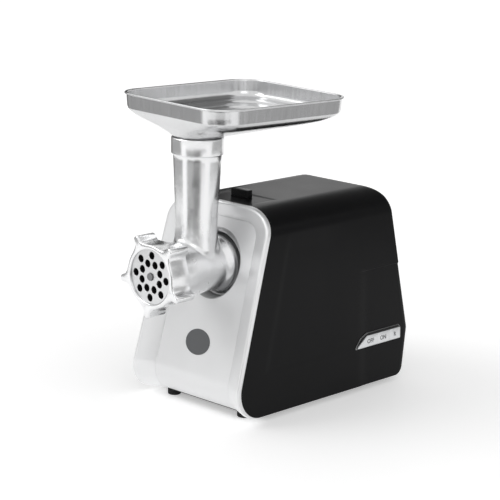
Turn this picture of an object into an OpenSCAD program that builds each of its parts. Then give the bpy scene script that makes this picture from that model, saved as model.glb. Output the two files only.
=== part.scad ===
// Electric meat grinder, millimetres, +Z up, front towards -Y.
// Origin: on the table, under the middle of the bounding box.
// Most skilled feature: the three-stage involute gear train, cut so that it
// meshes truly at every angle, from the motor pinion to the feed screw.

/* [Body] */
// height of the head's axis over the table
axis_z = 160; // [156:1:164]
// height of the hood's flat top
top_z = 227.5; // [222:0.5:234]
// half width of the housing at its bottom edge
half_w_low = 82.4; // [80:0.2:86]
// half width the leaning sides would reach at the top
half_w_top = 75; // [73:0.5:78]
// height of the rubber feet under the housing edge
foot_h = 6.5; // [5:0.5:8]
// wall of the black shells
wall = 2.6; // [2:0.1:3.5]
// how far the bezel's lip stands in front of the hood
lip_out = 5.5; // [4:0.5:7]
// how far the front plate lies behind the hood's edge
plate_back = 5.3; // [4:0.1:6]
// width of the bezel's slope at the sides
bezel_side = 25; // [20:1:28]
// width of the bezel's slope at the top
bezel_top = 18; // [15:1:21]

/* [Head] */
// diameter of the cutting plate
plate_d = 62; // [60:0.5:63]
// thickness of the cutting plate
plate_t = 7; // [6:0.5:8]
// diameter of the plate's mincing holes
hole_d = 7.8; // [4:0.2:8]
// distance of the feed tube's axis in front of the origin
tube_y = 100; // [98:1:102]
// outer radius of the feed tube under its collar
tube_r_top = 26; // [25:0.5:27]
// outer radius of the feed tube at its foot
tube_r_foot = 22.5; // [22:0.5:24]
// bore radius of the feed tube
tube_bore_r = 20; // [18:0.5:20]
// height of the collar's top edge
collar_z = 302; // [298:1:306]
// gap between pieces that move against each other
gap = 0.3; // [0.2:0.05:0.4]

/* [Tray] */
// tray width across the machine
tray_w = 176; // [165:1:185]
// tray length along the machine
tray_l = 193; // [180:1:205]
// height of the tray's rim over the table
rim_z = 342.5; // [338:0.5:348]
// turn of the tray in the feed tube, degrees
tray_turn = -5.3; // [-8:0.1:0]

/* [Drive] */
// teeth on each pinion
pin_n = 12; // [12:1:13]
// teeth on the output gear and the middle gear
wheel_n = 48; // [44:1:48]
// teeth on the gear driven by the motor
fast_n = 60; // [54:1:60]
// running clearance of shafts, on the radius
run_fit = 0.05; // [0.03:0.01:0.08]

/* [Hidden] */
$fn = 64;
// modules of the output, middle and motor gear pairs
mod_c = 1.5;
mod_b = 1.25;
mod_a = 1.0;
zh = axis_z;
za = foot_h;
chin_r = 30;
lean = 0.277;
front0 = -120.6;
chin_z = za + chin_r;
chin_y = chin_r*sqrt(1 + lean*lean) + lean*chin_z + front0;
chin_a = 180 - atan(lean);
kink_z = 61;
kink_y = 169.7;
rear_y = 134.9;
rear_r = 4.5;
seam_z = 139.5;
window_w = 64;
vent_w = 40;
vent_step = 7;
gland_z = 34;
gland_r = 9.5;
gland_bore = 3.8;
gland_end = 171.2;
post_x = 60;
post_y = [-62, 130];
post_h = 28;
foot_r = 7.5;
foot_front = [54, -76];
foot_rear = [60, 130];
tongue_w = 57;
tongue_y = -82.2;
plate_z0 = 8.6;
plate_r = plate_d/2;
bore_r = plate_r - 5.6;
flight_r = bore_r - 0.6;
core_r = 10;
nut_face = -168;
nut_back = -142.5;
nut_r = 34.6;
lug_r = 46;
nut_open = plate_r - 1.6;
plate_front = -166;
plate_back_y = plate_front + plate_t;
knife_back = plate_back_y + 6.3;
hub_back = -152.6;
screw_back = -64;
barrel_r = plate_r - 3.4;
flange_r = plate_r + 0.5;
cup_back = -46;
relief_z = axis_z + 32;
bore_top = collar_z - 16;
neck_r = 24.6;
collar_r = 28.3;
key_y0 = 77.4;
key_y1 = 152.3;
key_z0 = 51.6;
key_z1 = 63.9;
key_split = [112.9, 134.1];
key_travel = 2.5;
button_w = 12.3;
button_y0 = -34.8;
button_y1 = -27.6;
button_h = 9.3;
press = 4;
case_y0 = -37;
case_y1 = 14;
shaft_r = 4;
motor_y0 = 50;
motor_y1 = 82;
rotor_r = 21;
brush_y = 94;
end_y = 108;
c_out = mod_c*(pin_n + wheel_n)/2;
c_mid = mod_b*(pin_n + wheel_n)/2;
c_fast = mod_a*(pin_n + fast_n)/2;
x2 = c_out*cos(-125);
z2 = zh + c_out*sin(-125);
x1 = x2 + c_mid*cos(-35);
z1 = z2 + c_mid*sin(-35);
xm = x1 + c_fast*cos(-115);
zm = z1 + c_fast*sin(-115);

function arc(cx, cy, r, a0, a1, n) =
  [for (i = [0:n]) [cx + r*cos(a0 + (a1 - a0)*i/n), cy + r*sin(a0 + (a1 - a0)*i/n)]];
// half width of the housing at a height; the shoulders start 28 below the top
function half_w(z) = half_w_low + (half_w_top + 1.2 - half_w_low)*(z - za)/(top_z - 28 - za);
// front of the housing's side outline, by height
function yf(z) = z >= chin_z + chin_r*sin(chin_a) ? front0 + lean*z
  : chin_y - sqrt(max(0, chin_r*chin_r - (z - chin_z)*(z - chin_z)));

// involute gear outline, pressure angle 25 degrees, tooth centred on +X
pa = 25;
backlash = 0.36;
function inv(a) = tan(a)*180/PI - a;
function flank_a(m, n, r) =
  let (rb = m*n/2*cos(pa), a = r > rb ? acos(rb/r) : 0)
  90/n + inv(pa) - inv(a) - backlash/(4*m*n/2)*180/PI;
function gear_pts(m, n, add, ded) =
  let (rp = m*n/2, rb = rp*cos(pa), ra = rp + add*m, rr = rp - ded*m, r0 = max(rb, rr))
  [for (k = [0:n - 1]) let (c = 360*k/n) each concat(
    [[rr*cos(c - flank_a(m, n, r0)), rr*sin(c - flank_a(m, n, r0))]],
    [for (i = [0:4]) let (r = r0 + (ra - r0)*i/4, a = c - flank_a(m, n, r)) [r*cos(a), r*sin(a)]],
    [for (i = [4:-1:0]) let (r = r0 + (ra - r0)*i/4, a = c + flank_a(m, n, r)) [r*cos(a), r*sin(a)]],
    [[rr*cos(c + flank_a(m, n, r0)), rr*sin(c + flank_a(m, n, r0))]])];

// a gear whose axis is along Y, from y0 to y1, turned by a
module gear(m, n, x, z, y0, y1, a)
  translate([x, y1, z]) rotate([90, 0, 0]) rotate([0, 0, a])
    linear_extrude(height = y1 - y0) polygon(gear_pts(m, n, 1.0, 1.2));

// cylinder along Y
module ycyl(r, y0, y1, x = 0, z = 0, r2 = -1)
  translate([x, y0, z]) rotate([-90, 0, 0])
    cylinder(r1 = r, r2 = r2 < 0 ? r : r2, h = y1 - y0);

// turned profile about the Y axis at height zh: points are [radius, y]
module yturn(p, x = 0, z = zh)
  translate([x, 0, z]) rotate([-90, 0, 0]) rotate_extrude() polygon(p);

module block(x0, x1, y0, y1, z0, z1)
  translate([x0, y0, z0]) cube([x1 - x0, y1 - y0, z1 - z0]);

// side outline of the housing, inset by i
module side_area(i)
  polygon(concat(
    [[yf(top_z - i) + i*1.04, top_z - i]],
    arc(chin_y, chin_z, chin_r - i, chin_a, 270, 10),
    arc(kink_y - 17.7, za + 11, 11 - i, -90, -5, 5),
    [[kink_y - i, kink_z]],
    arc(rear_y - 14.5, top_z - 15, 15 - i, 12, 90, 6)));

// front outline of the housing, inset by i
module front_area(i)
  let (cx = half_w_top + 1.2 - 37.5, cz = top_z - 28)
  polygon(concat(
    [[-half_w(za + i) + i, za + i], [half_w(za + i) - i, za + i]],
    [for (t = [0:9]) let (a = t*10) [cx + (37.5 - i)*cos(a), cz + (28 - i)*sin(a)]],
    [for (t = [9:-1:0]) let (a = t*10) [-cx - (37.5 - i)*cos(a), cz + (28 - i)*sin(a)]]));

module along_x(h) rotate([90, 0, 90]) translate([0, 0, -h/2]) linear_extrude(height = h) children();
module along_y(y0, y1) translate([0, y1, 0]) rotate([90, 0, 0])
  linear_extrude(height = y1 - y0) children();

// upright prism with one round rear corner, leaning with the side and by a with the rear
side_a = atan((half_w_low - half_w_top - 1.2)/(top_z - 28 - za));
rear_a = atan((kink_y - rear_y)/(top_z - kink_z));
low_a = -8.7;
module corner_prism(s, a, h0, h1, i)
  let (r = rear_r - min(i, 2))
  translate([s*(half_w(kink_z) - i + 0.05), kink_y - i, kink_z]) rotate([a, -s*side_a, 0])
    translate([0, 0, h0]) linear_extrude(height = h1 - h0)
      polygon([for (p = concat([[0, -420]], arc(-r, -r, r, 0, 86, 5), [[-400, 18], [-400, -420]]))
        [s*p[0], p[1]]]);

// solid block of the whole housing, inset by i
module body(i)
  intersection() {
    along_x(200) side_area(i);
    along_y(-150, 200) front_area(i);
    union() {
      corner_prism(1, rear_a, -0.05, 220, i);
      corner_prism(1, low_a, -130, 0.05, i);
    }
    union() {
      corner_prism(-1, rear_a, -0.05, 220, i);
      corner_prism(-1, low_a, -130, 0.05, i);
    }
  }

// slab between two shifts of the leaning front, from the side outline
module front_slab(y0, y1, z0, z1)
  let (zs = concat([for (i = [0:9]) if (z0 < chin_end) z0 + (chin_end - z0)*i*i/81],
    [max(z0, chin_end + 1), z1]), n = len(zs))
  along_x(180) polygon(concat([for (z = zs) [yf(z) + y0, z]],
    [for (i = [n - 1:-1:0]) [yf(zs[i]) + y1, zs[i]]]));

// open front outline inset by s at the sides and t at the top, from left foot to right foot
chin_end = chin_z + chin_r*sin(chin_a);
function rim_pts(s, t) =
  let (rx = 37.5 - s*0.75, rz = 28 - t*0.65, ez = top_z - t - rz, ex = half_w(ez) - s - rx,
    zs = concat([for (i = [10:-1:0]) chin_z + chin_r*sin(chin_a + (270 - chin_a)*i/10)],
      [for (i = [1:3]) chin_end + (ez - chin_end)*i/3]))
  concat(
    [for (z = zs) [-(half_w(z) - s), z]],
    [for (i = [1:10]) let (a = i*9) [-ex - rx*cos(a), ez + rz*sin(a)]],
    [for (i = [10:-1:1]) let (a = i*9) [ex + rx*cos(a), ez + rz*sin(a)]],
    [for (i = [len(zs) - 1:-1:0]) [half_w(zs[i]) - s, zs[i]]]);

// posts that the base plate's screws reach, with a rib to the side wall
module shell_post(sx, y)
  difference() {
    union() {
      translate([sx*post_x, y, za + 11]) cylinder(r = 5.5, h = post_h);
      block(min(sx*post_x, sx*84), max(sx*post_x, sx*84), y - 1.5, y + 1.5, za + 11, za + 11 + post_h);
    }
    translate([sx*post_x, y, za]) cylinder(r = 1.6, h = 30);
  }

module upper_shell()
  color([0.05, 0.05, 0.055])
  difference() {
    union() {
      difference() {
        body(0);
        body(wall);
        // open front
        intersection() {
          along_y(-150, 0) front_area(wall);
          along_x(200) polygon(concat([[-160, za], [-160, 240]],
            [for (i = [14:-1:0]) let (z = za + (top_z - za)*i/14) [yf(z) + 14, z]]));
        }
        // open bottom
        block(-79.8, 79.8, -140, 150, -10, za + 5);
      }
      intersection() {
        body(1);
        for (s = [-1, 1]) for (y = post_y) shell_post(s, y);
      }
      // bars that the rear cover is set on
      block(-window_w - 2, window_w + 2, 144, 151, seam_z + gap, seam_z + 3.5);
    }
    // window for the lower rear cover
    block(-window_w, window_w, 146, 200, za + 10, seam_z);
    // pocket of the release button
    block(-button_w - 0.4, button_w + 0.4, button_y0 - 0.4, button_y1 + 0.4, top_z - 8, top_z + 5);
    // window of the key surround
    translate([60, 0, 0]) rotate([90, 0, 90]) linear_extrude(height = 40)
      surround_area(gap);
  }

// openings for the keys and their surround, grown by g
module key_area(g)
  polygon([[key_y0 - g, key_z0 - g], [key_y0 + 1.4 - g*1.3, key_z0 + 1.8 + g*0.7],
    [key_y0 + 16.6 - g*0.3, key_z1 + g], [key_y1 + g, key_z1 + g], [key_y1 + g, key_z0 - g]]);
module surround_area(g)
  polygon([[key_y0 - 3.6 - g, key_z0 - 1.1 - g], [key_y0 - 1.2 - g, key_z0 + 2.7 + g*0.4],
    [key_y0 + 5.7 - g*0.6, key_z1 - 1.4 + g], [key_y0 + 17.2 - g*0.3, key_z1 + 3.5 + g],
    [key_y1 - 1.7 + g*0.3, key_z1 + 3.5 + g], [key_y1 + 1.4 + g, key_z1 + g*0.3],
    [key_y1 + 1.4 + g, key_z0 - 1.1 - g]]);

module rear_cover()
  color([0.055, 0.055, 0.06])
  difference() {
    union() {
      intersection() {
        body(0.45);
        block(-window_w + gap, window_w - gap, 120, 200, za + 10 + gap, seam_z - gap);
      }
      // lip behind the hood's wall
      intersection() {
        body(wall + gap);
        block(-window_w - 5, window_w + 5, 120, 200, za + 16, seam_z - 3.5);
      }
    }
    intersection() {
      body(wall + gap + 2);
      difference() {
        block(-100, 100, 60, 200, 0, 200);
        ycyl(gland_r + 2.5, gland_end - 11.6, 200, 0, gland_z);
      }
    }
    // vent slots
    for (i = [0:8]) for (s = [-1, 1]) block(s*(vent_w*0.7) - vent_w/2, s*(vent_w*0.7) + vent_w/2,
      130, 180, kink_z + 5 + i*vent_step, kink_z + 8 + i*vent_step);
    // cord gland's flat and hole
    ycyl(gland_r + gap, gland_end - 6, 180, 0, gland_z);
    ycyl(gland_r - 2.2, 120, 180, 0, gland_z);
  }

module cord_gland()
  color([0.04, 0.04, 0.04])
  difference() {
    union() {
      ycyl(gland_r - 2.5, gland_end - 16.2, gland_end - 0.6, 0, gland_z);
      ycyl(gland_r, gland_end - 6, gland_end, 0, gland_z);
      ycyl(gland_r, gland_end - 14.2, gland_end - 11.7, 0, gland_z);
    }
    ycyl(gland_bore, 150, 180, 0, gland_z);
  }

module base_plate()
  color([0.06, 0.06, 0.065])
  difference() {
    union() {
      block(-79.8 + gap, 79.8 - gap, -68.4, 149.6, za, za + 3);
      // tongue that closes the gap under the front plate
      block(-tongue_w, tongue_w, tongue_y, -68, za, za + 3);
      for (s = [-1, 1]) for (y = post_y) translate([s*post_x, y, za + 3])
        cylinder(r = 5, h = 8);
      // pads of the gearbox and the motor
      block(xm - 18, xm + 18, -10, 15, za + 3, za + 8);
      for (y = [35, 106]) block(xm - 22, xm + 22, y, y + 16, za + 3, za + 5);
    }
    for (s = [-1, 1]) for (y = post_y) {
      translate([s*post_x, y, za - 1]) cylinder(r = 4.1, h = 5.5);
      translate([s*post_x, y, za - 1]) cylinder(r = 1.8, h = 14);
    }
    for (s = [-1, 1]) translate([s*foot_front[0], foot_front[1], za - 1])
      cylinder(r = 2.6, h = 5);
    for (s = [-1, 1]) for (y = [45, 116]) translate([xm + s*15, y, za + 1])
      cylinder(r = 1.8, h = 8);
    for (i = [0:6]) block(-30, 30, 56 + i*7, 59 + i*7, za - 1, za + 4);
  }

module foot_at(x, y, plug)
  translate([x, y, 0]) difference() {
    union() {
      translate([0, 0, 0.8]) cylinder(r = foot_r, h = za - 0.8);
      cylinder(r1 = foot_r - 0.8, r2 = foot_r, h = 0.8);
      cylinder(r = plug, h = za + 1.5);
    }
    translate([0, 0, -1]) cylinder(r = 3, h = 3);
  }
module rubber_feet()
  color([0.03, 0.03, 0.03])
  for (s = [-1, 1]) {
    foot_at(s*foot_front[0], foot_front[1], 2.5);
    foot_at(s*foot_rear[0], foot_rear[1], 3.8);
  }

module front_bezel()
  color([0.78, 0.79, 0.8])
  let (
    ring = [[0, 0, -0.15], [0, 0, -lip_out + 1.5], [1.2, 1.2, -lip_out], [3.6, 3.4, -lip_out],
      [bezel_side, bezel_top, plate_back - 0.3], [bezel_side, bezel_top, plate_back + 5],
      [wall + 0.6, wall + 0.6, plate_back + 5], [wall + 0.6, wall + 0.6, -0.15]],
    m = len(ring),
    n = len(rim_pts(0, 0)),
    pts = [for (r = ring) for (p = rim_pts(r[0], r[1])) [p[0], yf(p[1]) + r[2], p[1]]])
  polyhedron(points = pts, faces = concat(
    [for (j = [0:m - 1]) for (i = [0:n - 2]) each [
      [j*n + i, j*n + i + 1, ((j + 1)%m)*n + i],
      [j*n + i + 1, ((j + 1)%m)*n + i + 1, ((j + 1)%m)*n + i]]],
    [[for (j = [0:m - 1]) j*n]],
    [[for (j = [m - 1:-1:0]) j*n + n - 1]]));

module front_plate()
  color([0.74, 0.75, 0.76])
  difference() {
    intersection() {
      front_slab(plate_back, plate_back + 2.5, plate_z0, top_z - 3);
      along_y(-150, 0) polygon(rim_pts(bezel_side + 0.25, bezel_top + 0.25));
    }
    ycyl(38, -120, -20, 0, zh);
  }

module blank_disc()
  color([0.25, 0.26, 0.27])
  intersection() {
    front_slab(plate_back - 0.5, plate_back, 40, 110);
    along_y(-140, 0) polygon([for (i = [0:47]) [18*cos(i*7.5), 75.5 + 13.6*sin(i*7.5)]]);
  }

// socket for the head: ring in the leaning plate, cup behind it
cup_r = 35.2;
tab_r = 31.8;
post_a = [45, 135, 225, 315];
module head_socket()
  color([0.45, 0.46, 0.48])
  difference() {
    union() {
      intersection() {
        ycyl(37.6, -110, cup_back, 0, zh);
        along_x(100) polygon([[yf(100) + plate_back - 1, 100], [yf(220) + plate_back - 1, 220],
          [0, 220], [0, 100]]);
      }
      ycyl(41, cup_back - 6, cup_back, 0, zh);
      for (a = post_a) ycyl(5, cup_back - 6, cup_back, 42*cos(a), zh + 42*sin(a));
    }
    ycyl(cup_r, -120, -64, 0, zh);
    ycyl(tab_r, -120, cup_back - 2, 0, zh);
    ycyl(cup_r, -56.4, cup_back - 2, 0, zh);
    // bayonet entry slots
    for (a = [0, 120, 240]) translate([0, 0, zh]) rotate([0, a + 40, 0])
      block(-7, 7, -120, -50, 28, cup_r);
    ycyl(16.4, -60, -30, 0, zh);
    // way for the latch tooth
    block(-5.2, 5.2, -56.5, -30, zh - 60, zh - 30);
    for (a = post_a) ycyl(1.8, -60, -30, 42*cos(a), zh + 42*sin(a));
  }

module socket_screws()
  color([0.6, 0.6, 0.62])
  for (a = post_a) translate([42*cos(a), 0, zh + 42*sin(a)]) {
    ycyl(3, cup_back - 8.4, cup_back - 6);
    ycyl(1.7, cup_back - 6.2, -35);
  }

module gearbox_outline(g)
  union() {
    translate([0, zh]) circle(r = 41 + g);
    translate([x2, z2]) circle(r = 35 + g);
    translate([x1, z1]) circle(r = 35 + g);
    translate([xm, zm]) circle(r = 17 + g);
  }

function off(x, z, r, a) = [x + r*cos(a), z + r*sin(a)];
gear_lugs = [off(0, zh, 43, 8), off(0, zh, 43, 172), off(0, zh, 43, -18), off(x2, z2, 37, 175),
  off(x1, z1, 37, -35), off(xm, zm, 19, -150), off(xm, zm, 19, -30)];

module gearbox_front()
  color([0.2, 0.2, 0.21])
  difference() {
    union() {
      along_y(-37, -33.2) gearbox_outline(0);
      for (p = gear_lugs) ycyl(5, -37, -33.2, p[0], p[1]);
      ycyl(15.5, -43.5, -37, 0, zh);
      for (a = post_a) ycyl(5, cup_back, -37, 42*cos(a), zh + 42*sin(a));
      ycyl(8, -37, -31.4, x2, z2);
      ycyl(8, -37, -14.4, x1, z1);
    }
    ycyl(11 + run_fit, -60, -20, 0, zh);
    ycyl(4 + run_fit, -34.6, 0, x2, z2);
    ycyl(4 + run_fit, -34.6, 0, x1, z1);
    for (a = post_a) ycyl(1.8, cup_back - 1, -34.2, 42*cos(a), zh + 42*sin(a));
    for (p = gear_lugs) ycyl(1.8, -60, 0, p[0], p[1]);
  }

module gearbox_rear()
  color([0.18, 0.18, 0.19])
  difference() {
    union() {
      difference() {
        union() {
          along_y(-33, 14) gearbox_outline(0);
          for (p = gear_lugs) ycyl(5, -33, 14, p[0], p[1]);
        }
        along_y(-34, 10) gearbox_outline(-2.6);
      }
      ycyl(12.5, -14, 14, 0, zh);
      ycyl(6, -1.5, 14, x2, z2);
      ycyl(8, 9, 14, x1, z1);
      ycyl(10, 9.8, 18, xm, zm);
      // leg down to the base plate
      block(xm - 14, xm + 14, -6, 12, za + 8, zm - 15.5);
    }
    ycyl(8 + run_fit, -20, 12, 0, zh);
    ycyl(4 + run_fit, -10, 12, x2, z2);
    ycyl(4 + run_fit, -10, 12.6, x1, z1);
    ycyl(4 + run_fit, -10, 30, xm, zm);
    for (p = gear_lugs) ycyl(1.8, -60, -6, p[0], p[1]);
  }

module gearbox_screws()
  color([0.6, 0.6, 0.62])
  for (p = gear_lugs) {
    ycyl(3.2, -39.4, -37, p[0], p[1]);
    ycyl(1.7, -37.2, -8, p[0], p[1]);
  }

module base_screws()
  color([0.6, 0.6, 0.62])
  for (s = [-1, 1]) for (y = [45, 116]) translate([xm + s*15, y, 0]) {
    translate([0, 0, za + 8]) cylinder(r = 3, h = 2);
    translate([0, 0, za + 2]) cylinder(r = 1.7, h = 6.2);
  }

module output_gear()
  color([0.85, 0.83, 0.76])
  difference() {
    union() {
      gear(mod_c, wheel_n, 0, zh, -30, -16, -125 + 180 + 180/wheel_n);
      ycyl(14, -32, -15, 0, zh);
    }
    ycyl(8.02, -40, 0, 0, zh);
  }

module output_shaft()
  color([0.65, 0.66, 0.68])
  difference() {
    union() {
      ycyl(11, -52, -32.2, 0, zh);
      ycyl(8, -32.4, 11, 0, zh);
    }
    // hexagon drive socket
    translate([0, -36, zh]) rotate([90, 0, 0]) cylinder(r = 6.6, h = 20, $fn = 6);
  }

module second_gear()
  color([0.88, 0.86, 0.8])
  difference() {
    union() {
      gear(mod_c, pin_n, x2, z2, -30.6, -15.4, 180 - 125 + 180);
      gear(mod_b, wheel_n, x2, z2, -13, -3, -35 + 180/wheel_n + 7.5);
      ycyl(6, -15.6, -12.8, x2, z2);
    }
    ycyl(4.02, -60, 20, x2, z2);
  }
module second_shaft()
  color([0.65, 0.66, 0.68])
  ycyl(4, -34.3, 11.7, x2, z2);

module first_gear()
  color([0.88, 0.86, 0.8])
  difference() {
    union() {
      gear(mod_b, pin_n, x1, z1, -13.6, -2.4, 180 - 35);
      gear(mod_a, fast_n, x1, z1, 0, 8, -115 + 180/fast_n);
      ycyl(5.4, -2.6, 0.2, x1, z1);
    }
    ycyl(4.02, -60, 20, x1, z1);
  }
module first_shaft()
  color([0.65, 0.66, 0.68])
  ycyl(4, -34.3, 12.3, x1, z1);

module rotor_shaft()
  color([0.65, 0.66, 0.68])
  union() {
    gear(mod_a, pin_n, xm, zm, -1, 9, 180 - 115);
    ycyl(4, 8.8, 118, xm, zm);
  }

module rotor_core()
  color([0.4, 0.4, 0.42])
  difference() {
    ycyl(21, 50, 82, xm, zm);
    ycyl(4.02, 0, 140, xm, zm);
    for (k = [0:11]) translate([xm, 0, zm]) rotate([0, 30*k, 0])
      block(-1.4, 1.4, 40, 90, 19, 22);
  }
module rotor_windings()
  color([0.7, 0.35, 0.15])
  difference() {
    union() {
      ycyl(12, 44, 50, xm, zm, 18);
      ycyl(18, 82, 88, xm, zm, 12);
    }
    ycyl(4.02, 0, 140, xm, zm);
  }
module commutator()
  color([0.75, 0.45, 0.2])
  difference() {
    ycyl(11, 92, 104, xm, zm);
    ycyl(4.02, 0, 140, xm, zm);
    for (k = [0:11]) translate([xm, 0, zm]) rotate([0, 30*k, 0])
      block(-0.4, 0.4, 90, 106, 9.8, 12);
  }
module cooling_fan()
  color([0.15, 0.15, 0.16])
  difference() {
    union() {
      ycyl(24, 25, 27, xm, zm);
      ycyl(8, 25, 36, xm, zm);
      for (k = [0:8]) translate([xm, 0, zm]) rotate([0, 40*k, 0]) block(-0.9, 0.9, 26.8, 35, 7, 24);
    }
    ycyl(4.02, 0, 140, xm, zm);
  }

module stator_outline()
  intersection() {
    translate([-36, -32]) square([72, 64]);
    circle(r = 40);
  }
module stator_core()
  color([0.42, 0.43, 0.45])
  difference() {
    translate([xm, 0, zm]) along_y(50, 82) stator_outline();
    difference() {
      ycyl(29, 40, 90, xm, zm);
      for (s = [-1, 1]) block(xm - 16, xm + 16, 40, 90, zm + s*25 - 5, zm + s*25 + 5);
    }
    ycyl(21.5, 40, 90, xm, zm);
  }
module coil_at(s)
  difference() {
    block(xm - 19.5, xm + 19.5, 45.5, 86.5, zm + s*24.9 - 2.8, zm + s*24.9 + 2.8);
    block(xm - 16.3, xm + 16.3, 49.7, 82.3, zm + s*25 - 8, zm + s*25 + 8);
  }
module field_coils()
  color([0.72, 0.38, 0.16])
  intersection() {
    union() {
      coil_at(1);
      coil_at(-1);
    }
    difference() {
      ycyl(28.7, 40, 95, xm, zm);
      ycyl(21.6, 40, 95, xm, zm);
    }
  }
module motor_front()
  color([0.5, 0.51, 0.53])
  difference() {
    union() {
      translate([xm, 0, zm]) along_y(36.5, 39) stator_outline();
      for (s = [-1, 1]) for (t = [-1, 1]) ycyl(3.4, 38.8, 50, xm + s*32.5, zm + t*14);
      block(xm - 20, xm + 20, 36.5, 39, za + 5, zm - 24);
      block(xm - 20, xm + 20, 36.5, 50, za + 5, za + 8);
      for (a = [48, 98]) ycyl(3.5, 14, 37, xm + 30*cos(a), zm + 30*sin(a));
    }
    ycyl(19, 30, 45, xm, zm);
    for (s = [-1, 1]) translate([xm + s*15, 45, za]) cylinder(r = 1.8, h = 20);
  }
module motor_rear()
  color([0.5, 0.51, 0.53])
  difference() {
    union() {
      block(xm - 36, xm + 36, 108, 111, zm - 18, zm + 18);
      ycyl(10, 108, 120, xm, zm);
      for (s = [-1, 1]) for (t = [-1, 1]) ycyl(3.4, 82, 108.2, xm + s*32.5, zm + t*14);
      block(xm - 20, xm + 20, 108, 111, za + 5, zm - 17.8);
      block(xm - 20, xm + 20, 108, 121, za + 5, za + 8);
    }
    ycyl(4 + run_fit, 100, 118.4, xm, zm);
    for (s = [-1, 1]) translate([xm + s*15, 116, za]) cylinder(r = 1.8, h = 20);
  }
module brush_holders()
  color([0.7, 0.55, 0.25])
  for (s = [-1, 1]) union() {
    block(xm + s*20.3 - 9, xm + s*20.3 + 9, 94, 102, zm - 4, zm + 4);
    block(xm + s*24 - 3, xm + s*24 + 3, 101.8, 108, zm - 3, zm + 3);
  }

module switch_block()
  color([0.12, 0.12, 0.13])
  union() {
    difference() {
      block(54, 69, key_y0 - 3.4, key_y1 + 2.2, key_z0 - 4.6, key_z1 + 7.1);
      block(58, 70, key_y0 - 1.4, key_y1 + 0.3, key_z0 - 2, key_z1 + 4.5);
    }
    for (y = [key_y0 + 10.6, key_y1 - 16.3]) block(57, 67, y, y + 6, za + 3, key_z0 - 4.4);
  }

module key_frame()
  color([0.6, 0.61, 0.63])
  difference() {
    translate([69.2, 0, 0]) rotate([90, 0, 90]) linear_extrude(height = 12.6) surround_area(0);
    translate([60, 0, 0]) rotate([90, 0, 90]) linear_extrude(height = 40) key_area(0);
    // follows the leaning side
    translate([half_w(50) + 1.2, 0, 50]) rotate([0, -atan((half_w_low - half_w_top)/(top_z - za)), 0])
      block(0, 30, 60, 170, -30, 40);
  }
module key(y0, y1)
  difference() {
    translate([61, 0, 0]) rotate([90, 0, 90]) linear_extrude(height = 24)
      intersection() {
        key_area(-gap);
        translate([y0, key_z0 - 5]) square([y1 - y0, key_z1 - key_z0 + 10]);
      }
    translate([half_w(50) + 2.2, 0, 50]) rotate([0, -atan((half_w_low - half_w_top)/(top_z - za)), 0])
      block(0, 30, 60, 170, -30, 40);
    block(50, 68, y0 - 1, y1 + 1, key_z0 - 6, key_z0 + 3);
    block(50, 68, y0 - 1, y1 + 1, key_z1 - 2.9, key_z1 + 6);
  }
module off_key()
  color([0.86, 0.87, 0.88])
  key(key_y0, key_split[0] - gap/2);
module on_key()
  color([0.86, 0.87, 0.88])
  key(key_split[0] + gap/2, key_split[1] - gap/2);
module reverse_key()
  color([0.86, 0.87, 0.88])
  key(key_split[1] + gap/2, key_y1);

module release_button()
  color([0.04, 0.04, 0.045])
  union() {
    block(-button_w, button_w, button_y0, button_y1, top_z - press, top_z + button_h);
    block(-8, 8, button_y0 + 1.4, button_y1 - 1.4, top_z - 9, top_z - press + 0.2);
  }
module latch_slide()
  color([0.5, 0.5, 0.52])
  difference() {
    union() {
      block(-8, 8, -43, -40, zh + 20, top_z - 9);
      block(-8, 8, -43, button_y1 - 1.4, top_z - 12, top_z - 9);
      block(-22, 22, -43, -40, zh - 27, zh + 26);
      block(-5, 5, -43, -40, zh - 43, zh - 26);
      block(-4.6, 4.6, -54.6, -40, zh - 43, zh - 31.9);
    }
    ycyl(16, -50, -30, 0, zh);
    ycyl(16, -50, -30, 0, zh + 4.4);
    block(-16, 16, -50, -30, zh, zh + 4.4);
  }
module latch_spring()
  color([0.7, 0.71, 0.72])
  translate([0, -41.5, 97.1])
    linear_extrude(height = 19.7, twist = -1800, slices = 70, segments = 8)
      polygon(concat(arc(0, 0, 3.6, -45, 45, 3), arc(0, 0, 2.5, 45, -45, 3)));
module spring_seat()
  color([0.2, 0.2, 0.21])
  union() {
    block(-6, 6, -46, -37, 93, 97);
    translate([0, -41.5, 97]) cylinder(r = 1.8, h = 11);
  }

// outside of the head's barrel and spigot, grown by g
function barrel_pts(g) = [[0, -164], [barrel_r + 5 + g, -164], [barrel_r + 5 + g, nut_back - 0.7],
  [barrel_r + 4.8 + g, nut_back + 0.1], [barrel_r + 4.3 + g, -136], [barrel_r + 3.6 + g, -126],
  [barrel_r + 2.4 + g, -112], [barrel_r + 1 + g, -98], [barrel_r + g, -86], [barrel_r + g, -80.5],
  [barrel_r + 0.7 + g, -78.4], [flange_r - 0.6 + g, -73.2], [flange_r + g, -72],
  [flange_r + g, cup_back - 2.4], [0, cup_back - 2.4]];
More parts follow.
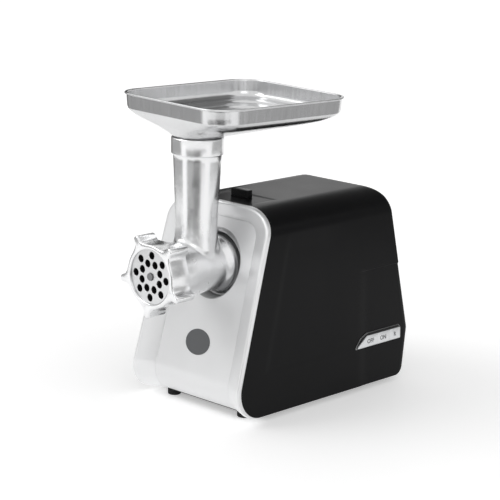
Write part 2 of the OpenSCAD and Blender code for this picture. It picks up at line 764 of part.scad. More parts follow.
// head casting: barrel with its bayonet flange
module head_casting()
  color([0.76, 0.77, 0.79])
  difference() {
    union() {
      yturn(barrel_pts(0));
      // bayonet lugs
      intersection() {
        ycyl(cup_r - gap, -55, -49, 0, zh);
        for (a = [0, 120, 240]) translate([0, 0, zh]) rotate([0, a, 0])
          block(-6, 6, -60, -45, 20, 40);
      }
    }
    // screw bore, knife chamber, plate seat, rear
    ycyl(bore_r, knife_back - 2, screw_back + 2, 0, zh);
    ycyl(plate_r - 4, plate_back_y - 1.3, knife_back, 0, zh);
    ycyl(plate_r + 0.15, -170, plate_back_y + 0.2, 0, zh);
    ycyl(24, screw_back + 1.9, -56, 0, zh);
    ycyl(13 + gap, -60, -40, 0, zh);
    ycyl(15.4, -52.5, -40, 0, zh);
    // way in from the feed tube
    translate([0, -tube_y, zh]) cylinder(r = tube_bore_r + 0.8, h = 60);
    // notch for the latch tooth
    block(-5, 5, -56, -40, zh - 33, zh - 28);
    // slot for the plate's tab
    block(-2, 2, -170, plate_back_y + 0.2, zh - 33.5, zh - 30);
  }

// feed tube and collar, seated on the barrel
module feed_tube()
  color([0.76, 0.77, 0.79])
  difference() {
    translate([0, -tube_y, 0]) rotate_extrude() polygon([[0, zh], [tube_r_foot + 3.5, zh + 14],
      [tube_r_foot + 1.4, zh + 30], [tube_r_foot, zh + 42], [tube_r_top, collar_z - 19],
      [collar_r - 0.3, collar_z - 17.5], [collar_r, collar_z - 1.2], [collar_r - 0.9, collar_z],
      [0, collar_z]]);
    yturn(barrel_pts(0.02));
    translate([0, -tube_y, zh]) cylinder(r = tube_bore_r, h = 160);
    translate([0, -tube_y, zh]) cylinder(r = tube_bore_r + 0.8, h = relief_z - zh);
    translate([0, -tube_y, bore_top]) cylinder(r = neck_r, h = 30);
  }

function ring_of(n, r, a0) = [for (k = [0:n - 1]) [r*cos(a0 - 360/n*k), r*sin(a0 - 360/n*k)]];
module cutting_plate()
  color([0.62, 0.63, 0.65])
  difference() {
    union() {
      ycyl(plate_r, plate_front, plate_front + plate_t, 0, zh);
      block(-1.7, 1.7, plate_front + 0.5, plate_front + plate_t, zh - 32.4, zh - 30);
    }
    for (p = concat(ring_of(8, 22.8, 132.5), ring_of(8, 14.3, 110.3)))
      ycyl(hole_d/2, -180, -140, p[0], zh + p[1]);
    ycyl(shaft_r + run_fit, -180, -140, 0, zh);
  }

module ring_nut()
  color([0.8, 0.81, 0.82])
  difference() {
    union() {
      yturn([[0, nut_face], [nut_r - 1, nut_face], [nut_r, nut_face + 1], [nut_r, nut_back - 1],
        [nut_r + 0.3, nut_back], [0, nut_back]]);
      for (k = [0:4]) translate([0, 0, zh]) rotate([0, -(48 + 72*k), 0])
        nut_lug();
    }
    ycyl(nut_open, -180, nut_face + 2.2, 0, zh);
    ycyl(plate_r + 1.9, nut_face + 1.8, nut_back + 10, 0, zh);
  }
module nut_lug()
  translate([0, nut_back, 0]) rotate([90, 0, 0]) linear_extrude(height = nut_back - nut_face)
    polygon(concat([[nut_r - 4.6, -17]],
      [[nut_r - 0.5, -14.5], [lug_r - 9.5, -7], [lug_r - 6, -4.6]],
      arc(lug_r - 4.4, 0, 4.4, -60, 60, 8),
      [[lug_r - 6, 4.6], [lug_r - 9.5, 7], [nut_r - 0.5, 14.5], [nut_r - 4.6, 17]]));

// feed screw: core and one long flight
module feed_screw()
  color([0.7, 0.71, 0.73])
  union() {
    ycyl(core_r, hub_back, screw_back, 0, zh);
    ycyl(core_r + 3, screw_back - 2, screw_back + 1, 0, zh);
    translate([0, screw_back - 4, zh]) rotate([90, 0, 0])
      linear_extrude(height = screw_back - 4 - hub_back - 0.6, twist = 900, slices = 100, segments = 14)
        polygon(concat(arc(0, 0, flight_r, -17, 17, 3), arc(0, 0, core_r - 2, 50, -50, 2)));
    // square seat of the knife and the stud through the plate
    block(-5, 5, plate_back_y + 0.6, hub_back + 0.6, zh - 5, zh + 5);
    ycyl(shaft_r - 0.1, plate_front - 1.6, plate_back_y + 1, 0, zh);
  }
module cross_knife()
  color([0.72, 0.73, 0.75])
  difference() {
    union() {
      ycyl(core_r + 0.5, plate_back_y + 0.4, hub_back - 0.1, 0, zh);
      for (k = [0:3]) translate([0, 0, zh]) rotate([0, 90*k, 0])
        block(-4.5, 3.5, plate_back_y + 0.4, hub_back - 1, 6, plate_r - 5);
    }
    block(-5.05, 5.05, -170, -150, zh - 5.05, zh + 5.05);
  }
module drive_bush()
  color([0.9, 0.9, 0.88])
  union() {
    ycyl(13, screw_back + 1, -52.6, 0, zh);
    translate([0, -37, zh]) rotate([90, 0, 0]) cylinder(r = 6.5, h = 20, $fn = 6);
  }

// tray: shallow bowl under an upright wall, and a neck. A ring is drawn inset from the
// rim by a to the left, b to the right, c to the front and d to the rear
tray_x0 = -5 - tray_w/2;
tray_x1 = -5 + tray_w/2;
tray_y0 = 53.7 - tray_l/2;
tray_y1 = 53.7 + tray_l/2;
tray_wall = 1.6;
wall_z = rim_z - 16.5;
function ring_pts(x0, x1, y0, y1, r, n) = concat(
  arc(x1 - r, y0 + r, r, -90, 0, n), arc(x1 - r, y1 - r, r, 0, 90, n),
  arc(x0 + r, y1 - r, r, 90, 180, n), arc(x0 + r, y0 + r, r, 180, 270, n));
function rim_ring(a, b, c, d, r) = ring_pts(tray_x0 + a, tray_x1 - b, tray_y0 + c, tray_y1 - d, r, 9);
module loft(rings)
  let (n = len(rings[0][0]), m = len(rings), pts = [for (q = rings) for (p = q[0]) [p[0], p[1], q[1]]])
  polyhedron(points = pts, faces = concat(
    [[for (i = [0:n - 1]) i]],
    [[for (i = [n - 1:-1:0]) (m - 1)*n + i]],
    [for (j = [0:m - 2]) for (i = [0:n - 1]) each [
      [j*n + i, (j + 1)*n + i, j*n + (i + 1)%n],
      [j*n + (i + 1)%n, (j + 1)*n + i, (j + 1)*n + (i + 1)%n]]]));
module tray()
  color([0.8, 0.81, 0.83])
  translate([0, -tube_y, 0]) rotate([0, 0, tray_turn])
  difference() {
    union() {
      loft([
        [ring_pts(-26.4, 26.4, -26.4, 26.4, 26.3, 9), collar_z + gap],
        [ring_pts(-31, 31, -29, 38, 29, 9), collar_z + 3],
        [rim_ring(44, 37, 11.5, 62, 36), collar_z + 8],
        [rim_ring(25, 21, 9, 28, 38), wall_z - 11.5],
        [rim_ring(11.5, 10.5, 6.4, 12, 37), wall_z - 7.6],
        [rim_ring(5.2, 5.2, 4.2, 5.4, 33), wall_z - 3.6],
        [rim_ring(2.6, 2.6, 2.6, 2.6, 31), wall_z],
        [rim_ring(1.5, 1.5, 1.5, 1.5, 30.4), rim_z - 2.4],
        [rim_ring(0, 0, 0, 0, 30), rim_z - 1.2],
        [rim_ring(0, 0, 0, 0, 30), rim_z]]);
      // neck
      translate([0, 0, collar_z - 15]) cylinder(r = neck_r - gap, h = 18);
    }
    translate([0, 0, collar_z - 20]) cylinder(r = neck_r - 2.2, h = 40);
    loft([
      [ring_pts(-25, 25, -25, 25, 24.9, 9), collar_z + 2],
      [ring_pts(-29.8, 29.8, -27.6, 36, 27.4, 9), collar_z + 4.8],
      [rim_ring(45, 38, 13.4, 63, 34.4), collar_z + 9.8],
      [rim_ring(26, 22, 11, 29, 36.4), wall_z - 9.7],
      [rim_ring(13, 12, 8.4, 13.6, 35.4), wall_z - 6],
      [rim_ring(6.9, 6.9, 6.1, 7.1, 31.4), wall_z - 2.6],
      [rim_ring(4.3, 4.3, 4.3, 4.3, 29.4), wall_z + 0.4],
      [rim_ring(3.1, 3.1, 3.1, 3.1, 28.8), rim_z + 1]]);
  }

upper_shell();
rear_cover();
base_plate();
rubber_feet();
front_bezel();
front_plate();
blank_disc();
head_socket();
socket_screws();
gearbox_front();
gearbox_rear();
gearbox_screws();
base_screws();
stator_core();
field_coils();
motor_front();
motor_rear();
brush_holders();
switch_block();
key_frame();
cord_gland();
spring_seat();
latch_spring();
head_casting();
feed_tube();
cutting_plate();
ring_nut();
tray();
feed_screw();
cross_knife();
drive_bush();
output_shaft();
output_gear();
second_shaft();
second_gear();
first_shaft();
first_gear();
rotor_shaft();
rotor_core();
rotor_windings();
commutator();
cooling_fan();
off_key();
on_key();
reverse_key();
release_button();
latch_slide();
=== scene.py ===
import math
import bpy
import bmesh
from mathutils import Vector, Matrix


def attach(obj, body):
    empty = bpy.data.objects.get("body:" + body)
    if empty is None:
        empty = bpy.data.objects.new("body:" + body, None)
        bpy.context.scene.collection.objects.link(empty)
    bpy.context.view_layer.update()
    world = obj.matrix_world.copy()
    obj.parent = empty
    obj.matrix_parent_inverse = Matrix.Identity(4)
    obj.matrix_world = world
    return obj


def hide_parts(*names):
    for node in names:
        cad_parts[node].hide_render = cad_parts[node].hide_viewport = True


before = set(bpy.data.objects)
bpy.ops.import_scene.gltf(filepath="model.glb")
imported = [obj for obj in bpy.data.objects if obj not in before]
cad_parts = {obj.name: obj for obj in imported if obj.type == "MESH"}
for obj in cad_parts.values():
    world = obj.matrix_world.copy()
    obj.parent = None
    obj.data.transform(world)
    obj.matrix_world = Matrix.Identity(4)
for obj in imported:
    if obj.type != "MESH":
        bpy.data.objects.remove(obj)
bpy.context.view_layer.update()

# ---- sizes in millimetres, nearly all of them the CAD source's own ----
MM = 0.001
ZA, TOP, AX = 6.5, 227.5, 160.0          # underside and top of the housing, axis of the screw
W0, W1, STEP = 82.4, 75.0, 1.2           # half widths below and above, and what the hood adds
SIDE_TOP = W1 + STEP
SHOULDER_W, SHOULDER_H = 37.5, 28        # width and height of the round shoulders
LEAN, F0, CR = 0.277, -120.6, 30.0       # lean of the front, its y at the table, chin radius
CZ = ZA + CR
CY = CR * math.sqrt(1 + LEAN * LEAN) + LEAN * CZ + F0
CA = math.pi - math.atan(LEAN)
CHIN_END = CZ + CR * math.sin(CA)
KY, KZ, RY = 169.7, 61.0, 134.9          # kink of the rear, and its y at the top
REAR_CORNER, FOOT_R, CROWN_R = 4.5, 11, 15
WALL, PB, SEAM = 2.6, 5.3, 139.5         # hood's wall, depth of the panel, seam of the rear cover
RIM_S, RIM_T = 25, 18                    # width of the bezel at the sides and at the top
SOCKET_R, TUBE_Y, COLLAR = 38, -100.0, 302.0
TUBE_BORE, TUBE_RELIEF = 20.0, 20.8
NUT_F, NUT_B, NUT_OPEN = -168.0, -142.5, 29.4
BARREL_R, BORE_R, CHAMBER_R = 32.6, 25.4, 27.0
PLATE_R, PLATE_F, PLATE_B, HOLE_R = 31.0, -166.0, -159.0, 3.9
RIM_Z, TRAY_W, TRAY_L, TURN = 342.5, 176.0, 193.0, -5.3
TRAY_X, TRAY_Y, TRAY_WALL, NECK_R = -5, 53.7, 16.5, 24.3
BUTTON_X, BUTTON_Y0, BUTTON_Y1, BUTTON_H = 12.3, -34.8, -27.6, 9.3
BUTTON_GAP = 0.45
FOOT_FRONT, FOOT_REAR = (54, -76), (60, 130)
KEY_Z0, KEY_Z1, KEY_OUT = 51.9, 63.6, 1.9     # the keys' height, and how far they stand out


def half(z):
    """Half the housing's width at height z, below the shoulders."""
    return W0 + (SIDE_TOP - W0) * (z - ZA) / (TOP - SHOULDER_H - ZA)


def yf(z):
    """The front's y at height z: the round chin, then the lean."""
    if z >= CHIN_END:
        return F0 + LEAN * z
    return CY - math.sqrt(max(0.0, CR * CR - (z - CZ) ** 2))


def smooth01(a, b, v):
    """Eased step from 0 at a to 1 at b."""
    t = min(1.0, max(0.0, (v - a) / (b - a)))
    return t * t * (3 - 2 * t)


# ---- materials ----
NOISE_LOW, NOISE_HIGH = 0.3, 0.7    # the part of the noise that the ramps spread


def set_inputs(node, **values):
    """Sets a shader node's inputs; an underscore stands for a space in their names."""
    for name, value in values.items():
        node.inputs[name.replace("_", " ")].default_value = value


def add(nt, kind, **values):
    node = nt.nodes.new("ShaderNode" + kind)
    set_inputs(node, **values)
    return node


def node_of(nt, kind):
    return next(n for n in nt.nodes if n.type == kind)


def new_mat(name):
    m = bpy.data.materials.new(name)
    m.use_nodes = True
    nt = m.node_tree
    return m, nt, node_of(nt, "BSDF_PRINCIPLED")


def surface(name, c1, c2, rough=(0.3, 0.4), metal=0.0, grain=900.0, bump=0.03,
            stretch=(1, 1, 1), spec=0.5, coat=0.0, coat_rough=0.1, wide=18.0, mottle=0.35):
    """Two colours and a range of roughness mixed by broad and fine noise, and a fine bump."""
    m, nt, b = new_mat(name)
    link = nt.links.new
    set_inputs(b, Metallic=metal, Specular_IOR_Level=spec)
    if coat:
        set_inputs(b, Coat_Weight=coat, Coat_Roughness=coat_rough)
    tc = add(nt, "TexCoord")
    mp = add(nt, "Mapping", Scale=stretch)
    broad = add(nt, "TexNoise", Scale=wide, Detail=4.0)
    fine = add(nt, "TexNoise", Scale=grain, Detail=3.0)
    link(tc.outputs["Object"], mp.inputs["Vector"])
    link(tc.outputs["Object"], broad.inputs["Vector"])
    link(mp.outputs["Vector"], fine.inputs["Vector"])
    mix = add(nt, "Mix")
    mix.data_type = "FLOAT"
    set_inputs(mix, Factor=mottle)
    link(broad.outputs["Fac"], mix.inputs["A"])
    link(fine.outputs["Fac"], mix.inputs["B"])
    ramp = add(nt, "ValToRGB")
    stops = ramp.color_ramp.elements
    for stop, place, colour in ((stops[0], NOISE_LOW, c1), (stops[1], NOISE_HIGH, c2)):
        stop.position = place
        stop.color = (*colour, 1)
    link(mix.outputs["Result"], ramp.inputs["Fac"])
    link(ramp.outputs["Color"], b.inputs["Base Color"])
    mr = add(nt, "MapRange", From_Min=NOISE_LOW, From_Max=NOISE_HIGH, To_Min=rough[0],
             To_Max=rough[1])
    link(mix.outputs["Result"], mr.inputs["Value"])
    link(mr.outputs["Result"], b.inputs["Roughness"])
    bp = add(nt, "Bump", Strength=bump, Distance=0.5 * MM)
    link(fine.outputs["Fac"], bp.inputs["Height"])
    link(bp.outputs["Normal"], b.inputs["Normal"])
    return m


M = {
    "hood": surface("black_moulded", (0.0035, 0.0035, 0.004), (0.0055, 0.0055, 0.006),
                    (0.27, 0.33), grain=1600, bump=0.06, spec=0.09),
    "black": surface("black_matt", (0.004, 0.004, 0.0045), (0.007, 0.007, 0.0075), (0.34, 0.44),
                     grain=1300, bump=0.08, spec=0.2),
    "rubber": surface("rubber_black", (0.006, 0.006, 0.006), (0.016, 0.016, 0.016), (0.7, 0.85),
                      grain=1500, bump=0.25, spec=0.3),
    "silver": surface("silver_lacquer", (0.80, 0.803, 0.808), (0.86, 0.863, 0.868), (0.30, 0.38),
                      metal=0.55, grain=4200, bump=0.03, coat=0.25, coat_rough=0.2, mottle=0.6),
    "panel": surface("panel_lacquer", (0.74, 0.743, 0.748), (0.80, 0.803, 0.808), (0.34, 0.42),
                     metal=0.6, grain=4200, bump=0.03, coat=0.15, coat_rough=0.25, mottle=0.6),
    "print": surface("dark_print", (0.075, 0.078, 0.082), (0.10, 0.103, 0.107), (0.45, 0.55),
                     grain=2500, bump=0.05),
    "chrome": surface("dark_chrome", (0.40, 0.405, 0.415), (0.47, 0.475, 0.485), (0.10, 0.16),
                      metal=1.0, grain=700, bump=0.01),
    "cast": surface("polished_cast", (0.74, 0.743, 0.75), (0.84, 0.843, 0.848), (0.18, 0.30),
                    metal=1.0, grain=190, bump=0.06, wide=34),
    "tray": surface("brushed_tray", (0.60, 0.603, 0.608), (0.68, 0.683, 0.688), (0.17, 0.25),
                    metal=1.0, grain=420, bump=0.02, stretch=(1, 1, 0.06), wide=14, mottle=0.6),
    "steel": surface("ground_steel", (0.60, 0.605, 0.61), (0.70, 0.705, 0.71), (0.28, 0.40),
                     metal=0.9, grain=2200, bump=0.10, mottle=0.6),
    "zinc": surface("plated_steel", (0.42, 0.43, 0.44), (0.55, 0.555, 0.56), (0.28, 0.4),
                    metal=0.95, grain=900, bump=0.05),
    "nylon": surface("gear_nylon", (0.72, 0.69, 0.60), (0.80, 0.77, 0.69), (0.45, 0.55),
                     grain=1200, bump=0.06),
    "copper": surface("enamelled_copper", (0.50, 0.19, 0.06), (0.62, 0.27, 0.10), (0.25, 0.4),
                      metal=0.85, grain=900, bump=0.3, stretch=(1, 0.1, 1)),
    "key": surface("key_silver", (0.80, 0.81, 0.82), (0.87, 0.88, 0.89), (0.30, 0.38),
                   metal=0.3, grain=3000, bump=0.04, mottle=0.6),
    "cavity": surface("socket_grey", (0.36, 0.362, 0.366), (0.46, 0.462, 0.466), (0.3, 0.42),
                      metal=0.5, grain=500, bump=0.04),
    # painted shade: the feed screw and cross knife are coloured far darker than their steel, so the
    # plate's holes look dark
    "painted_shade_steel": surface("steel_painted_dark_as_shade", (0.16, 0.162, 0.166), (0.24, 0.242, 0.246), (0.32, 0.45),
                    metal=0.9, grain=900, bump=0.08),
    "dark": surface("hole_shade", (0.02, 0.02, 0.021), (0.035, 0.035, 0.036), (0.4, 0.5),
                    metal=0.6, grain=900, bump=0.05, spec=0.2),
    "button": surface("button_black", (0.002, 0.002, 0.0022), (0.003, 0.003, 0.0033), (0.2, 0.27),
                      grain=1500, bump=0.03, spec=0.12),
    "bead": surface("frame_bead", (0.30, 0.302, 0.306), (0.38, 0.382, 0.386), (0.3, 0.4),
                    metal=0.5, grain=900, bump=0.03),
    "brass": surface("brush_brass", (0.55, 0.40, 0.14), (0.68, 0.50, 0.2), (0.25, 0.38),
                     metal=1.0, grain=900, bump=0.05),
}

NODE_MAT = {
    "hood": ["upper_shell"],
    "black": ["rear_cover", "base_plate", "gearbox_front", "gearbox_rear", "switch_block",
              "cord_gland", "spring_seat", "cooling_fan"],
    "button": ["release_button"],
    "rubber": ["rubber_feet"],
    "silver": ["front_bezel"], "panel": ["front_plate"], "print": ["blank_disc"],
    "chrome": ["head_socket", "key_frame"],
    "zinc": ["socket_screws", "gearbox_screws", "base_screws", "stator_core", "motor_front",
             "motor_rear", "latch_spring", "output_shaft", "second_shaft", "first_shaft",
             "rotor_shaft", "rotor_core", "latch_slide"],
    # the feed screw and cross knife take the steel painted dark as shade
    "steel": ["cutting_plate"], "painted_shade_steel": ["cross_knife", "feed_screw"],
    "cast": ["head_casting", "feed_tube", "ring_nut"], "tray": ["tray"],
    "nylon": ["drive_bush", "output_gear", "second_gear", "first_gear"],
    "copper": ["field_coils", "rotor_windings", "commutator"],
    "brass": ["brush_holders"],
    "key": ["off_key", "on_key", "reverse_key"],
}
for key, names in NODE_MAT.items():
    for n in names:
        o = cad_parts[n]
        o.data.materials.clear()
        o.data.materials.append(M[key])
        for p in o.data.polygons:
            p.material_index = 0


# ---- mesh helpers ----
def make(name, verts, faces, mat, angle=35.0):
    """An object from vertices in millimetres, with its normals outward."""
    me = bpy.data.meshes.new(name)
    me.from_pydata([(x * MM, y * MM, z * MM) for x, y, z in verts], [], faces)
    me.validate()
    o = bpy.data.objects.new(name, me)
    bpy.context.scene.collection.objects.link(o)
    me.materials.append(M[mat])
    bm = bmesh.new()
    bm.from_mesh(me)
    bmesh.ops.remove_doubles(bm, verts=bm.verts, dist=1e-7)
    bmesh.ops.recalc_face_normals(bm, faces=bm.faces)
    bm.to_mesh(me)
    bm.free()
    shade(o, angle)
    return o


def shade(o, angle=35.0):
    for p in o.data.polygons:
        p.use_smooth = True
    o.data.set_sharp_from_angle(angle=math.radians(angle))


def applied(o, angle=35.0):
    """Turns the object's modifiers into its mesh."""
    dg = bpy.context.evaluated_depsgraph_get()
    me = bpy.data.meshes.new_from_object(o.evaluated_get(dg))
    o.modifiers.clear()
    o.data = me
    shade(o, angle)
    return o


def cut(o, tool, angle=35.0):
    """Takes the tool out of the object and removes the tool."""
    md = o.modifiers.new("cut", "BOOLEAN")
    md.operation = "DIFFERENCE"
    md.solver = "EXACT"
    md.object = tool
    applied(o, angle)
    bpy.data.objects.remove(tool)
    return o


def walled(o, thickness, angle):
    """Gives a sheet its thickness, inward from its face."""
    md = o.modifiers.new("wall", "SOLIDIFY")
    md.thickness = thickness * MM
    md.offset = -1
    return applied(o, angle)


def loft(rings, closed=True, cap0=True, cap1=True, wrap=False):
    """Vertices and faces over a list of rings of equal length."""
    n = len(rings[0])
    verts = [p for r in rings for p in r]
    faces = []
    m = len(rings)
    for j in range(m if wrap else m - 1):
        k = (j + 1) % m
        for i in range(n if closed else n - 1):
            a, b = j * n + i, j * n + (i + 1) % n
            c, d = k * n + (i + 1) % n, k * n + i
            faces.append((a, b, c, d))
    if closed and cap0 and not wrap:
        faces.append(tuple(range(n - 1, -1, -1)))
    if closed and cap1 and not wrap:
        faces.append(tuple((m - 1) * n + i for i in range(n)))
    return verts, faces


def circle(r, n, cx=0.0, cy=0.0):
    return [(cx + r * math.cos(2 * math.pi * i / n), cy + r * math.sin(2 * math.pi * i / n))
            for i in range(n)]


def arc(cx, cy, r, a0, a1, n):
    return [(cx + r * math.cos(math.radians(a0 + (a1 - a0) * i / n)),
             cy + r * math.sin(math.radians(a0 + (a1 - a0) * i / n))) for i in range(n + 1)]


def between(q, w):
    """Point at share w between q[1] and q[2] on a smooth curve through four points."""
    return 0.5 * ((2 * q[1]) + (q[2] - q[0]) * w + (2 * q[0] - 5 * q[1] + 4 * q[2] - q[3]) * w * w
                  + (3 * q[1] - q[0] - 3 * q[2] + q[3]) * w ** 3)


def joined(parts):
    """One list of vertices and faces from several."""
    verts, faces = [], []
    for v, f in parts:
        off = len(verts)
        verts += v
        faces += [tuple(q + off for q in p) for p in f]
    return verts, faces


def box(x0, x1, y0, y1, z0, z1):
    v = [(x, y, z) for x in (x0, x1) for y in (y0, y1) for z in (z0, z1)]
    f = [(0, 1, 3, 2), (4, 6, 7, 5), (0, 4, 5, 1), (2, 3, 7, 6), (0, 2, 6, 4), (1, 5, 7, 3)]
    return make("tool", v, f, "black")


def prism_x(pts, x0, x1):
    v, f = loft([[(x0, y, z) for y, z in pts], [(x1, y, z) for y, z in pts]])
    return make("tool", v, f, "black")


def turned_y(profile, n=96, closed=False, name="tool", mat="cast", angle=35.0):
    """Revolves [(radius, y)] about the screw's axis; the profile may close on itself."""
    rings = []
    for i in range(n):
        a = 2 * math.pi * i / n
        rings.append([(r * math.cos(a), y, AX + r * math.sin(a)) for r, y in profile])
    v, f = loft(rings, closed=closed, wrap=True)
    return make(name, v, f, mat, angle)


def rounded(points, radii, seg=4):
    """Rounds the corners of a closed outline by the given radius or radii."""
    straight, reach = math.radians(176), 0.48
    out = []
    n = len(points)
    for i in range(n):
        r = radii[i] if isinstance(radii, (list, tuple)) else radii
        p = Vector(points[i])
        a = Vector(points[(i - 1) % n]) - p
        b = Vector(points[(i + 1) % n]) - p
        la, lb = a.length, b.length
        a.normalize()
        b.normalize()
        ang = a.angle(b, math.pi)
        if r <= 0 or ang > straight:
            out.append(points[i])
            continue
        t = min(r / math.tan(ang / 2), la * reach, lb * reach)
        c = p + (a + b).normalized() * (t / math.cos(ang / 2))
        s0 = p + a * t - c
        s1 = p + b * t - c
        out += [tuple(c + s0.slerp(s1, k / seg)) for k in range(seg + 1)]
    return out


def on(o, body, *nodes, slot=None):
    """Puts a piece on its body, in place of the CAD nodes it stands for."""
    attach(o, body)
    if nodes:
        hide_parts(*nodes)
    return o


# ---- hood ----
def hood_half(z):
    """Half the hood's width at height z, round at the shoulders."""
    if z <= TOP - SHOULDER_H:
        return half(z)
    up = (z - TOP + SHOULDER_H) / SHOULDER_H
    return SIDE_TOP - SHOULDER_W + SHOULDER_W * math.sqrt(max(0.0, 1 - up ** 2))


def rear(z):
    """The rear's y at height z: foot curve, kink, then the crown curve."""
    foot_y, foot_top, foot_a = 152, ZA + 10, math.radians(-5)
    crown_y, crown_a = RY - 14.5, math.radians(12)
    if z <= foot_top:
        return foot_y + math.sqrt(max(0.0, FOOT_R ** 2 - (z - ZA - FOOT_R) ** 2))
    y0, z0 = foot_y + FOOT_R * math.cos(foot_a), ZA + FOOT_R + FOOT_R * math.sin(foot_a)
    if z <= KZ:
        return y0 + (KY - y0) * (z - z0) / (KZ - z0)
    y1, z1 = crown_y + CROWN_R * math.cos(crown_a), TOP - CROWN_R + CROWN_R * math.sin(crown_a)
    if z <= z1:
        return KY + (y1 - KY) * (z - KZ) / (z1 - KZ)
    return crown_y + CROWN_R * math.sqrt(max(0.0, 1 - ((z - TOP + CROWN_R) / CROWN_R) ** 2))


def side_relief(y, z):
    """Shallow relief of the side: step under the seam and the large pressed panel."""
    step, press = 0.7, 0.45
    crease_y, crease_z, crease_lean = -36.6, 192.7, 32.0 / 131.0
    below = step * smooth01(80, 96, y) * smooth01(SEAM + 0.4, SEAM - 0.3, z)
    crease = crease_y + (z - crease_z) * crease_lean
    inner = smooth01(crease - 1.5, crease + 3.0, y) * smooth01(51, 56, z)
    fade = smooth01(70, 20, y) * smooth01(205, 180, z)
    return below + press * inner * fade


def hood_heights():
    """Heights of the hood's rings, closer at the pressed panel's foot, the seam and the top."""
    side_end = TOP - SHOULDER_H - 1.5
    zs = [ZA + 0.01, ZA + 0.4]
    zs += [ZA + FOOT_R - FOOT_R * math.cos(math.radians(a)) for a in range(15, 90, 12)]
    z = 20.0
    while z < side_end:
        zs.append(z)
        z += 2.2 if 44 < z < 62 else 5.0
    zs += [SEAM + d for d in (-0.6, -0.3, -0.15, 0.15, 0.4)]
    zs = sorted(set(round(v, 3) for v in zs))
    shoulder = [*range(0, 40, 4), *range(40, 85, 5), 84, 87, 90]
    return zs + [TOP - SHOULDER_H + SHOULDER_H * math.sin(math.radians(a)) for a in shoulder]


def hood_ring(z, side_n, back_n):
    """One ring: left side, rear with its two small corners, right side."""
    hw, yr, y0, rc = hood_half(z), rear(z), yf(z), REAR_CORNER
    side = []
    for i in range(side_n + 1):
        y = y0 + (yr - rc - y0) * (i / side_n)
        side.append((hw - side_relief(y, z), y))
    dx = side_relief(yr, z)
    cx, cy = hw - dx - rc, yr - dx - rc
    ring = [(-x, y) for x, y in side]
    ring += [(-cx + rc * math.cos(math.radians(a)), cy + rc * math.sin(math.radians(a)))
             for a in range(168, 90, -13)]
    ring += [(-cx + 2 * cx * i / back_n, yr - dx) for i in range(back_n + 1)]
    ring += [(cx + rc * math.cos(math.radians(a)), cy + rc * math.sin(math.radians(a)))
             for a in range(77, 0, -13)]
    return [(x, y, z) for x, y in ring + side[::-1]]


def make_hood():
    side_n, back_n, top_n = 72, 24, 36
    rings = [hood_ring(z, side_n, back_n) for z in hood_heights()]
    v, f = loft(rings, closed=False)
    # flat top with the lowered pad round the release button
    pad_depth, pad_y, pad_x, ease = 0.5, -12.0, 35.0, 2.0
    n = len(rings[0])
    base = (len(rings) - 1) * n
    hw = hood_half(TOP)
    rows = []
    for i in range(side_n + 1):
        y = rings[-1][i][1]
        row = [base + i]
        for k in range(1, top_n):
            x = -hw + 2 * hw * k / top_n
            low = smooth01(pad_y, pad_y - ease, y) * smooth01(pad_x, pad_x - ease, abs(x))
            v.append((x, y, TOP - pad_depth * low))
            row.append(len(v) - 1)
        row.append(base + n - 1 - i)
        rows.append(row)
    for i in range(side_n):
        for k in range(top_n):
            f.append((rows[i][k], rows[i + 1][k], rows[i + 1][k + 1], rows[i][k + 1]))
    f.append(tuple(rows[-1]) + tuple(base + n - 2 - i for i in range(side_n, n - side_n - 2)))
    o = walled(make("hood", v, f, "hood", 28), WALL, 28)
    # openings for the rear cover, the button and the keys' frame
    cover_x, cover_y, cover_z = 64, 146, ZA + 10
    cut(o, box(-cover_x, cover_x, cover_y, 200, cover_z, SEAM), angle=28)
    x, y0, y1 = BUTTON_X + BUTTON_GAP, BUTTON_Y0 - BUTTON_GAP, BUTTON_Y1 + BUTTON_GAP
    cut(o, box(-x, x, y0, y1, TOP - 8, TOP + 5), angle=28)
    window = [(73.5, 50.2), (75.9, 54.4), (82.9, 62.8), (94.5, 67.7), (150.7, 67.7), (154, 64),
              (154, 50.2)]
    cut(o, prism_x(rounded(window, 1.5), 66, 100), angle=28)
    return o


on(make_hood(), "housing", "upper_shell", slot="black_shell")


# ---- front bezel and panel ----
def rim_corner(s, t):
    """Upper corner of an outline set in by s at the sides and t at the top: radii and centre."""
    rx, rz = SHOULDER_W - s * 0.75, SHOULDER_H - t * 0.65
    ez = TOP - t - rz
    return rx, rz, half(ez) - s - rx, ez


def rim(s, t):
    """Outline from the left foot over the top to the right foot, set in by s and t."""
    rx, rz, ex, ez = rim_corner(s, t)
    chin_n, side_n, top_n = 22, 12, 6
    start = math.radians(270)
    zs = [CZ + CR * math.sin(start + (CA - start) * i / chin_n) for i in range(chin_n + 1)]
    zs += [CHIN_END + (ez - CHIN_END) * i / side_n for i in range(1, side_n + 1)]
    left = [(-(half(z) - s), z) for z in zs]
    left += [(-ex - rx * math.cos(math.radians(a)), ez + rz * math.sin(math.radians(a)))
             for a in range(5, 91, 5)]
    flat = [(-ex + 2 * ex * i / top_n, ez + rz) for i in range(1, top_n)]
    return left + flat + [(-x, z) for x, z in reversed(left)]


